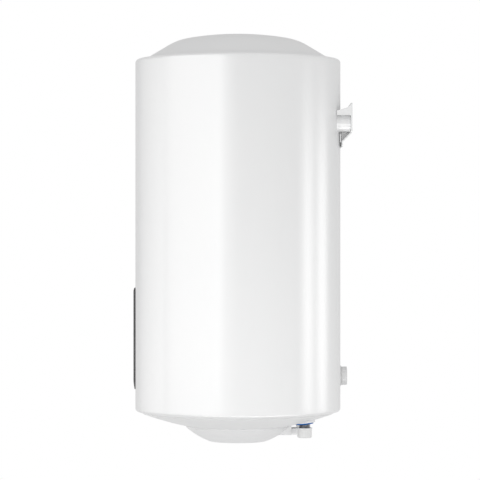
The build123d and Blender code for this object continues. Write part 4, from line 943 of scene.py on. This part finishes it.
@dataclass
class WaterConnection:
    """One pipe end under the heater: threaded nipple, colour ring and push-on cap."""

    side: str
    ring_finish: str
    thread_pitch: float = 1.814 * MM
    thread_depth: float = 1.0 * MM
    crest_radius: float = 10.4775 * MM
    neck_radius: float = 9.0 * MM
    bore_radius: float = 7.0 * MM
    thread_turns: int = 12
    rows_per_turn: int = 14
    flank_gain: float = 1.5
    flank_drop: float = 0.2
    end_bevel: float = 0.2 * MM
    run_out: float = 0.6 * MM
    ring_edge: float = 0.3 * MM
    ring_gap: float = 0.3 * MM
    ring_thickness: float = 2.4 * MM
    ring_tilt: float = 5.5
    cap_radius: float = 13.5 * MM
    cap_lip_height: float = 2.6 * MM
    cap_floor: float = 1.6 * MM
    cap_round: float = 2.4 * MM
    cap_edge: float = 0.5 * MM
    cap_corner: float = 0.8 * MM
    cap_flute: float = 0.12 * MM
    cap_flutes: int = 36
    gate_radius: float = 2.4 * MM
    gate_depth: float = 0.35 * MM
    ring_steps: int = 5
    cap_steps: int = 6
    columns: int = 144

    def __post_init__(self) -> None:
        """Take the pipe's place from the frame."""
        self.pipe = NodeBox.of(f"{self.side}_nipple")
        self.place = np.array([self.pipe.middle[0], self.pipe.middle[1], 0.0])

    def build_nipple(self) -> bpy.types.Object:
        """Nipple with a true helical thread.

        Formula: in the threaded stretch the radius is the root plus the thread depth times a triangle
        wave of (height - pitch times angle / full turn) / pitch, steepened to flat crests and roots and
        faded in and out over the end turns; the neck above and the bore inside are plain.

        Returns:
            The nipple.
        """
        low = self.pipe.low[2]
        high = self.pipe.high[2]
        end = low + self.thread_turns * self.thread_pitch
        root = self.crest_radius - self.thread_depth
        height = np.linspace(low, end, self.thread_turns * self.rows_per_turn + 1)[:, None]
        angle = np.linspace(0.0, FULL_TURN, self.columns, endpoint=False)[None]
        phase = (height - self.thread_pitch * angle / FULL_TURN) / self.thread_pitch
        wave = 1.0 - np.abs(2.0 * (phase - np.floor(phase)) - 1.0)
        wave = np.clip(wave * self.flank_gain - self.flank_drop, 0.0, 1.0)
        fade = np.clip(np.minimum(height - low, end - height) / self.thread_pitch, 0.0, 1.0)
        outer = root + self.thread_depth * wave * fade
        under = np.array([[self.bore_radius, high], [self.bore_radius, low], [root - self.end_bevel, low]])
        neck = np.array([
            [root, end + self.run_out / 2], [self.neck_radius, end + self.run_out], [self.neck_radius, high]
        ])
        plain = np.ones_like(angle)
        radius = np.concatenate((under[:, :1] * plain, outer, neck[:, :1] * plain))
        level = np.concatenate((under[:, 1:], height, neck[:, 1:]))
        parts = np.broadcast_arrays(radius * np.cos(angle), radius * np.sin(angle), level)
        return grid_piece(f"{self.side}_thread", np.stack(parts, axis=2) + self.place, wrap_rows=True)

    def build_ring(self) -> bpy.types.Object:
        """Colour ring: a rounded bar section turned about the pipe, then sheared to its seat.

        Formula: each point is raised by the seat's slope times its distance from the pipe toward the wall.

        Returns:
            The ring.
        """
        box = NodeBox.of(f"{self.side}_ring")
        outer = box.size[0] / 2
        bore = self.crest_radius + self.ring_gap
        top = self.ring_thickness / 2
        edge = self.ring_edge
        corners = [(bore, -top, edge), (outer, -top, edge), (outer, top, edge), (bore, top, edge)]
        section = rounded(corners, self.ring_steps)
        points = turned(section, self.columns, (self.place[0], self.place[1], box.middle[2]))
        slope = math.tan(math.radians(self.ring_tilt))
        points[..., 2] += slope * (points[..., 1] - self.place[1])
        return grid_piece(f"{self.side}_band", points, wrap_rows=True)

    def build_cap(self) -> bpy.types.Object:
        """Push-on cap: a cup section turned about the pipe, its side wall faintly fluted.

        Formula: the outer radius of the side wall is lowered by the flute depth times
        (1 - cos(flutes times angle)) / 2, faded out toward the lip and the rounded bottom edge.

        Returns:
            The cap.
        """
        box = NodeBox.of(f"{self.side}_cap")
        low = box.low[2]
        top = box.high[2]
        lip = box.size[0] / 2
        bore = self.crest_radius + self.ring_gap
        soft = self.cap_edge
        side = self.cap_radius
        under = top - self.cap_lip_height
        floor = low + self.cap_floor
        gate = low + self.gate_depth
        gate_edge = self.gate_depth / 3
        outline = rounded([
            (bore, top, soft / 2), (bore, floor, self.cap_corner), (0.0, floor, 0.0),
            (0.0, gate, 0.0), (self.gate_radius, gate, gate_edge),
            (self.gate_radius + self.gate_depth, low, gate_edge), (side, low, self.cap_round),
            (side, low + 2 * self.cap_round, 0.0), (side, under - self.cap_round, 0.0),
            (side, under, soft), (lip, under, soft), (lip, top, soft),
        ], self.cap_steps)
        start = np.argmin(np.abs(outline[:, 0]) + np.abs(outline[:, 1] - gate))
        outline = np.roll(outline, -start, axis=0)
        points = turned(outline, self.columns, self.place)
        fade = np.clip((outline[:, 1] - low) / (3 * self.cap_round), 0.0, 1.0)
        fade *= np.clip((under - outline[:, 1]) / self.cap_round, 0.0, 1.0)
        fade *= outline[:, 0] > bore + soft
        angle = np.linspace(0.0, FULL_TURN, self.columns, endpoint=False)
        depth = self.cap_flute * (1.0 - np.cos(self.cap_flutes * angle)) / 2
        shrink = 1.0 - fade[:, None] * depth[None] / self.cap_radius
        centre = self.place[:2]
        points[..., :2] = centre + (points[..., :2] - centre) * shrink[..., None]
        return grid_piece(f"{self.side}_plug", points)

    def build(self, wardrobe: Wardrobe) -> None:
        """Build and fit the nipple, the ring and the cap.

        Args:
            wardrobe: dresses and seats the pieces.
        """
        wardrobe.fit(self.build_nipple(), "raw_steel", [f"{self.side}_nipple"])
        wardrobe.fit(self.build_ring(), self.ring_finish, [f"{self.side}_ring"])
        cap_body = f"{self.side}_cap_body"
        wardrobe.fit(self.build_cap(), "cap_plastic", [f"{self.side}_cap"], cap_body)


@dataclass
class WallMount:
    """Wall bracket, its bushes and the sliding spacer at the back."""

    bend_edge: float = 0.45 * MM
    bush_edge: float = 0.6 * MM
    clamp_edge: float = 0.5 * MM
    foot_radius: float = 17.2 * MM
    shank_radius: float = 6.0 * MM
    shank_length: float = 16.0 * MM
    shank_edge: float = 0.6 * MM
    foot_round: float = 1.2 * MM
    foot_edge: float = 0.4 * MM
    ring_width: float = 2.2 * MM
    ring_depth: float = 0.45 * MM
    foot_steps: int = 5
    columns: int = 120

    def build_foot(self) -> bpy.types.Object:
        """Spacer foot: a stepped outline with two shallow rings in its wall face, turned about its slide.

        Returns:
            The foot.
        """
        box = NodeBox.of("spacer_pad")
        low = box.low[1]
        far = box.high[1]
        near = low + self.shank_length
        first = self.foot_radius / 3
        second = first + 2 * self.ring_width
        soft = self.ring_depth / 3
        sunk = far - self.ring_depth
        grooves = []
        for start in (second, first):
            end = start + self.ring_width
            grooves += [(end, far, soft), (end - soft, sunk, soft)]
            grooves += [(start + soft, sunk, soft), (start, far, soft)]
        outline = rounded([
            (0.0, low, 0.0), (self.shank_radius, low, self.shank_edge), (self.shank_radius, near, 0.0),
            (self.foot_radius, near, self.foot_edge), (self.foot_radius, far, self.foot_round),
            *grooves, (0.0, far, 0.0),
        ], self.foot_steps)
        place = (box.middle[0], 0.0, box.middle[2])
        return turned_piece("spacer_foot", outline, self.columns, place, Axis.TO_WALL)

    def build(self, wardrobe: Wardrobe) -> None:
        """Build and fit the bracket, the bushes, the cable clamp and the spacer foot.

        Args:
            wardrobe: dresses and seats the pieces.
        """
        bracket = merged_copy("wall_bracket", "bracket_pressing")
        soften_edges(bracket, self.bend_edge)
        wardrobe.fit(bracket, "bracket_steel", ["wall_bracket"])
        bushes = merged_copy("bracket_bushes", "bracket_sleeves")
        soften_edges(bushes, self.bush_edge)
        wardrobe.fit(bushes, "bush_steel", ["bracket_bushes"])
        # The clamp wears a lighter white whose extra brightness is painted light against the shade under
        # the dish.
        clamp = merged_copy("cable_clamp", "cable_grip")
        soften_edges(clamp, self.clamp_edge)
        wardrobe.fit(clamp, "clamp_plastic_painted_light", ["cable_clamp"])
        wardrobe.fit(self.build_foot(), "grey_plastic", ["spacer_pad"], "spacer")


class Mark(Enum):
    """Sign on a strip button."""

    POWER = "power"
    MINUS = "minus"
    PLUS = "plus"


@dataclass
class ControlStrip:
    """Control strip on the front: button faces with their signs, and the digits behind the window."""

    face_radius: float = 5.5 * MM
    face_height: float = 3.73 * MM
    flange_radius: float = 7.1 * MM
    flange_thickness: float = 1.2 * MM
    stem_radius: float = 1.8 * MM
    face_edge: float = 0.45 * MM
    dish_depth: float = 0.4 * MM
    sign_sink: float = 0.1 * MM
    sign_depth: float = 0.4 * MM
    sign_radius: float = 2.1 * MM
    stroke: float = 0.55 * MM
    end_round: float = 0.98
    power_gap: float = 38.0
    stem_rise: float = 0.72
    stem_share: float = 1.25
    digit_width: float = 6.6 * MM
    digit_height: float = 12.6 * MM
    digit_gap: float = 2.6 * MM
    segment: float = 1.25 * MM
    segment_gap: float = 0.25 * MM
    segment_depth: float = 0.3 * MM
    digits: str = "65"
    columns: int = 72
    dish_rows: int = 12
    edge_steps: int = 6
    power_steps: int = 40

    LIT_SEGMENTS = {"6": "acdefg", "5": "acdfg"}

    def build_button(self, mark: Mark) -> bpy.types.Object:
        """Button: a stem, a flange and a dished face, turned about its line of travel.

        Formula: the face lies under its rim by the dish depth times 1 - (radius / dish radius) squared.

        Args:
            mark: the button's sign.

        Returns:
            The button.
        """
        box = NodeBox.of(f"{mark.value}_button")
        front = box.low[1]
        back = box.high[1]
        flange_front = front + self.face_height
        flange_back = flange_front + self.flange_thickness
        dish = self.face_radius - 2 * self.face_edge
        reach = np.linspace(0.0, dish, self.dish_rows)
        bowl = np.stack((reach, front + self.dish_depth * (1.0 - (reach / dish) ** 2)), axis=1)
        centre = (self.face_radius - self.face_edge, front + self.face_edge)
        rim = arc(centre, self.face_edge, -90.0, 0.0, self.edge_steps)
        rest = np.array([
            [self.face_radius, flange_front], [self.flange_radius, flange_front],
            [self.flange_radius, flange_back], [self.stem_radius, flange_back],
            [self.stem_radius, back], [0.0, back],
        ])
        profile = np.concatenate((bowl, rim, rest))
        place = (box.middle[0], 0.0, box.middle[2])
        return turned_piece(f"{mark.value}_key", profile, self.columns, place, Axis.TO_WALL)

    def bar(self, centre: Sequence[float], length: float, width: float, upright: bool) -> Array:
        """Outline of a bar with round ends, in x and z.

        Args:
            centre: the bar's middle.
            length: its length.
            width: its width.
            upright: whether it stands upright.

        Returns:
            The outline's points.
        """
        x, z = (width / 2, length / 2) if upright else (length / 2, width / 2)
        soft = width / 2 * self.end_round
        corners = [(-x, -z, soft), (x, -z, soft), (x, z, soft), (-x, z, soft)]
        return rounded(corners, self.edge_steps) + np.array(centre)

    def cross(self, centre: Sequence[float], length: float, width: float) -> Array:
        """Outline of an upright cross: one arm's three corners, turned four times by a quarter.

        Args:
            centre: the cross's middle.
            length: length of its two bars.
            width: width of its two bars.

        Returns:
            The outline's points.
        """
        arm = np.array([[width, width], [length, width], [length, -width]]) / 2
        quarter = np.array([[0.0, -1.0], [1.0, 0.0]])
        turns = [arm @ np.linalg.matrix_power(quarter, step) for step in range(4)]
        return np.concatenate(turns) + np.array(centre)

    def ring_piece(self, name: str, centre: Sequence[float], y: float) -> bpy.types.Object:
        """Open ring of the power sign: a square section carried round an arc, closed at its ends.

        Args:
            name: the piece's name.
            centre: x and z of the ring's middle.
            y: its front face.

        Returns:
            The ring.
        """
        gap = math.radians(self.power_gap)
        top = math.pi / 2
        angle = np.linspace(top + gap, top + FULL_TURN - gap, self.power_steps)[:, None]
        half = self.stroke / 2
        radius = self.sign_radius + np.array([-half, half, half, -half])
        depth = np.array([0.0, 0.0, self.sign_depth, self.sign_depth])
        x = centre[0] + radius * np.cos(angle)
        z = centre[1] + radius * np.sin(angle)
        return grid_piece(name, capped(np.stack(np.broadcast_arrays(x, y + depth, z), axis=2)))

    def build_signs(self, mark: Mark) -> list[bpy.types.Object]:
        """Raised sign in the dish of a button, below its rim.

        Args:
            mark: the sign.

        Returns:
            Its pieces.
        """
        box = NodeBox.of(f"{mark.value}_button")
        centre = (box.middle[0], box.middle[2])
        y = box.low[1] + self.sign_sink
        length = 2 * self.sign_radius
        name = f"{mark.value}_sign"
        if mark is Mark.POWER:
            top = (centre[0], centre[1] + self.sign_radius * self.stem_rise)
            stem = self.bar(top, self.sign_radius * self.stem_share, self.stroke, upright=True)
            return [self.ring_piece(name, centre, y), slab_piece(f"{name}_stem", stem, y, self.sign_depth)]
        if mark is Mark.PLUS:
            return [slab_piece(name, self.cross(centre, length, self.stroke), y, self.sign_depth)]
        outline = self.bar(centre, length, self.stroke, upright=False)
        return [slab_piece(name, outline, y, self.sign_depth)]

    def segment_outline(self, centre: Sequence[float], length: float, upright: bool) -> Array:
        """Six-cornered outline of one digit segment, in x and z.

        Args:
            centre: the segment's middle.
            length: its length with its gaps.
            upright: whether it stands upright.

        Returns:
            The outline's points.
        """
        half = length / 2 - self.segment_gap
        wide = self.segment / 2
        inner = half - wide
        outline = np.array([
            [-half, 0.0], [-inner, -wide], [inner, -wide], [half, 0.0], [inner, wide], [-inner, wide]
        ])
        if upright:
            outline = np.stack((-outline[:, 1], outline[:, 0]), axis=1)
        return outline + np.array(centre)

    def build_digits(self) -> list[bpy.types.Object]:
        """Two seven-segment digits on the display module, each segment a thin slab.

        Returns:
            The segments.
        """
        module = NodeBox.of("display_module")
        y = module.low[1] - self.segment_depth
        middle = (module.middle[0], module.middle[2])
        half = self.digit_width / 2
        quarter = self.digit_height / 4
        places = {
            "a": ((0.0, 2 * quarter), False), "g": ((0.0, 0.0), False), "d": ((0.0, -2 * quarter), False),
            "f": ((-half, quarter), True), "b": ((half, quarter), True),
            "e": ((-half, -quarter), True), "c": ((half, -quarter), True),
        }
        pieces = []
        pitch = self.digit_width + self.digit_gap
        for index, digit in enumerate(self.digits):
            offset = (index - (len(self.digits) - 1) / 2) * pitch
            for letter in self.LIT_SEGMENTS[digit]:
                (x, z), upright = places[letter]
                length = self.digit_height / 2 if upright else self.digit_width
                outline = self.segment_outline((middle[0] + offset + x, middle[1] + z), length, upright)
                name = f"digit_{index}_{letter}"
                pieces.append(slab_piece(name, outline, y, self.segment_depth))
        return pieces

    def build(self, wardrobe: Wardrobe) -> None:
        """Build and fit the buttons, their signs and the digits.

        Args:
            wardrobe: dresses and seats the pieces.
        """
        for mark in Mark:
            body = f"{mark.value}_key"
            node = f"{mark.value}_button"
            wardrobe.fit(self.build_button(mark), "button_plastic", [node], body)
            for sign in self.build_signs(mark):
                wardrobe.fit(sign, "print_white", body=body)
        for digit in self.build_digits():
            wardrobe.fit(digit, "lit_segment")


# Studio


class Reach(Enum):
    """Which surfaces a light works on."""

    GLOSS = "gloss"
    MATT = "matt"


@dataclass(frozen=True)
class SoftBox:
    """A flat soft light aimed at the heater; azimuth 0 is the camera's side, growing toward the wall."""

    name: str
    reach: Reach
    azimuth: float
    width: float
    radiance: float
    elevation: float = 0.0
    height: float = 1.5
    distance: float = 3.0

    def place(self, target: Sequence[float]) -> None:
        """Add the light, facing the target point.

        Args:
            target: the point.
        """
        lamp = bpy.data.lights.new(self.name, "AREA")
        lamp.shape = "RECTANGLE"
        lamp.size = self.width
        lamp.size_y = self.height
        lamp.energy = self.radiance * math.pi * self.width * self.height
        turn = math.radians(self.azimuth)
        rise = math.radians(self.elevation)
        light = bpy.data.objects.new(self.name, lamp)
        away = np.array([math.cos(turn) * math.cos(rise), math.sin(turn) * math.cos(rise), math.sin(rise)])
        light.location = np.array(target) + self.distance * away
        light.rotation_euler = (math.pi / 2 - rise, 0.0, turn + math.pi / 2)
        light.visible_camera = False
        light.visible_diffuse = self.reach is Reach.MATT
        light.visible_glossy = self.reach is Reach.GLOSS
        light.visible_transmission = False
        bpy.context.scene.collection.objects.link(light)


@dataclass
class Studio:
    """Pale floor, even surround, soft boxes and the camera."""

    camera_place: Point = (4.280, -0.2085, -0.2455)
    lens: float = 170.7
    sensor: float = 36.0
    floor_height: float = -1.05
    floor_reach: float = 30.0
    floor_colour: Colour = (0.86, 0.86, 0.86)
    floor_rows: int = 9
    shadow_reach: tuple[float, float] = (0.9, 2.4)
    sky_range: tuple[float, float] = (0.1, 0.9)
    side_level: float = 1.0
    top_level: float = 0.70
    gloss_level: float = 0.65
    boxes: tuple[SoftBox, ...] = (
        SoftBox(
            "key_box", Reach.GLOSS, azimuth=-50.0, width=4.0, radiance=0.92,
            elevation=8.0, height=2.6,
        ),
        SoftBox("key_feather", Reach.GLOSS, azimuth=-14.0, width=0.9, radiance=0.40),
        SoftBox("shoulder_box", Reach.GLOSS, azimuth=-112.0, width=3.0, radiance=0.78),
        SoftBox(
            "low_glow", Reach.GLOSS, azimuth=30.0, width=4.2, radiance=0.24,
            elevation=-9.0, height=0.9,
        ),
        SoftBox(
            "rim_box", Reach.GLOSS, azimuth=12.0, width=2.2, radiance=3.0,
            elevation=-50.0, height=0.15, distance=1.0,
        ),
        SoftBox(
            "side_stripe", Reach.GLOSS, azimuth=82.0, width=0.7, radiance=1.50,
            elevation=-2.5, height=0.95,
        ),
        SoftBox(
            "wall_stripe", Reach.GLOSS, azimuth=107.0, width=0.9, radiance=1.80,
            elevation=-2.5, height=0.95,
        ),
        SoftBox(
            "front_fill", Reach.MATT, azimuth=0.0, width=4.0, radiance=1.45,
            elevation=-8.0, height=0.8,
        ),
        SoftBox(
            "back_fill", Reach.MATT, azimuth=180.0, width=4.0, radiance=1.2,
            elevation=-8.0, height=0.8,
        ),
        SoftBox(
            "floor_bounce", Reach.MATT, azimuth=0.0, width=2.6, radiance=0.21,
            elevation=-90.0, height=2.6, distance=0.78,
        ),
    )

    def shown_directly(self, tree: Tree) -> bpy.types.NodeSocket:
        """Mask of the rays that show the studio itself: camera, glossy and transmission rays.

        Args:
            tree: the tree that uses the mask.

        Returns:
            The mask.
        """
        path = tree.add("ShaderNodeLightPath")
        seen = tree.math("MAXIMUM", path.outputs["Is Camera Ray"], path.outputs["Is Glossy Ray"])
        return tree.math("MAXIMUM", seen, path.outputs["Is Transmission Ray"])

    def build_world(self) -> None:
        """Even surround: white to the camera, dimmer in reflections; it lights less from above."""
        world = bpy.data.worlds.new("studio_surround")
        world.use_nodes = True
        bpy.context.scene.world = world
        tree = Tree(world.node_tree)
        end = tree.add("ShaderNodeOutputWorld")
        aim = tree.add("ShaderNodeSeparateXYZ", {0: tree.add("ShaderNodeTexCoord").outputs["Generated"]})
        light = tree.remap(aim.outputs["Z"], self.sky_range, (self.side_level, self.top_level))
        seen = tree.math("MAXIMUM", light, self.shown_directly(tree))
        path = tree.add("ShaderNodeLightPath")
        dimmed = tree.remap(path.outputs["Is Glossy Ray"], (0.0, 1.0), (1.0, self.gloss_level))
        level = tree.math("MULTIPLY", seen, dimmed)
        back = tree.add("ShaderNodeBackground", {"Color": WHITE, "Strength": level})
        tree.join(back.outputs[0], end.inputs["Surface"])

    def build_floor(self) -> None:
        """Pale floor: keeps the shadow near the heater, fades to white further out, clear from below."""
        axis = NodeBox.of("casing_jacket").middle
        step = np.linspace(-self.floor_reach, self.floor_reach, self.floor_rows)
        x, y = np.meshgrid(step, step, indexing="ij")
        points = np.stack((x + axis[0], y + axis[1], np.full_like(x, self.floor_height)), axis=2)
        faces = grid_faces(self.floor_rows, self.floor_rows, wrap_rows=False, wrap_columns=False)
        floor = make_piece("studio_floor", points, faces, closed=False)
        material = bpy.data.materials.new("floor_white")
        material.use_nodes = True
        tree = Tree(material.node_tree)
        end = tree.add("ShaderNodeOutputMaterial")
        place = tree.add("ShaderNodeTexCoord").outputs["Object"]
        flat = tree.add("ShaderNodeVectorMath", {0: place, 1: (-axis[0], -axis[1], -self.floor_height)})
        far = tree.add("ShaderNodeVectorMath", {0: flat.outputs[0]}, operation="LENGTH").outputs["Value"]
        fade = tree.remap(far, self.shadow_reach, (0.0, 1.0))
        share = tree.math("MULTIPLY", fade, self.shown_directly(tree))
        matt = tree.add("ShaderNodeBsdfDiffuse", {"Color": (*self.floor_colour, 1.0)})
        white = tree.add("ShaderNodeEmission", {"Color": WHITE, "Strength": 1.0})
        mix = tree.add("ShaderNodeMixShader", {0: share, 1: matt.outputs[0], 2: white.outputs[0]})
        below = tree.add("ShaderNodeNewGeometry").outputs["Backfacing"]
        clear = tree.add("ShaderNodeBsdfTransparent")
        both = tree.add("ShaderNodeMixShader", {0: below, 1: mix.outputs[0], 2: clear.outputs[0]})
        tree.join(both.outputs[0], end.inputs["Surface"])
        floor.data.materials.append(material)

    def build_camera(self) -> None:
        """Camera level with the heater, looking along -X."""
        eye = bpy.data.cameras.new("photo_camera")
        eye.lens = self.lens
        eye.sensor_width = self.sensor
        camera = bpy.data.objects.new("photo_camera", eye)
        camera.location = self.camera_place
        camera.rotation_euler = (math.pi / 2, 0.0, math.pi / 2)
        bpy.context.scene.collection.objects.link(camera)
        bpy.context.scene.camera = camera

    def build(self) -> None:
        """Build the whole studio."""
        bpy.context.scene.view_settings.view_transform = "Standard"
        self.build_world()
        self.build_floor()
        target = NodeBox.of("casing_jacket").middle
        for box in self.boxes:
            box.place(target)
        self.build_camera()


def main() -> None:
    """Build every sub-assembly, dress the CAD nodes that still show, and set up the studio."""
    logging.basicConfig(level=logging.INFO, format="%(name)s: %(message)s")
    wardrobe = Wardrobe()
    Casing().build(wardrobe)
    WaterConnection("cold", "blue_plastic").build(wardrobe)
    WaterConnection("hot", "red_plastic").build(wardrobe)
    WallMount().build(wardrobe)
    ControlStrip().build(wardrobe)
    wardrobe.dress_nodes()
    Studio().build()


if __name__ == "__main__":
    main()
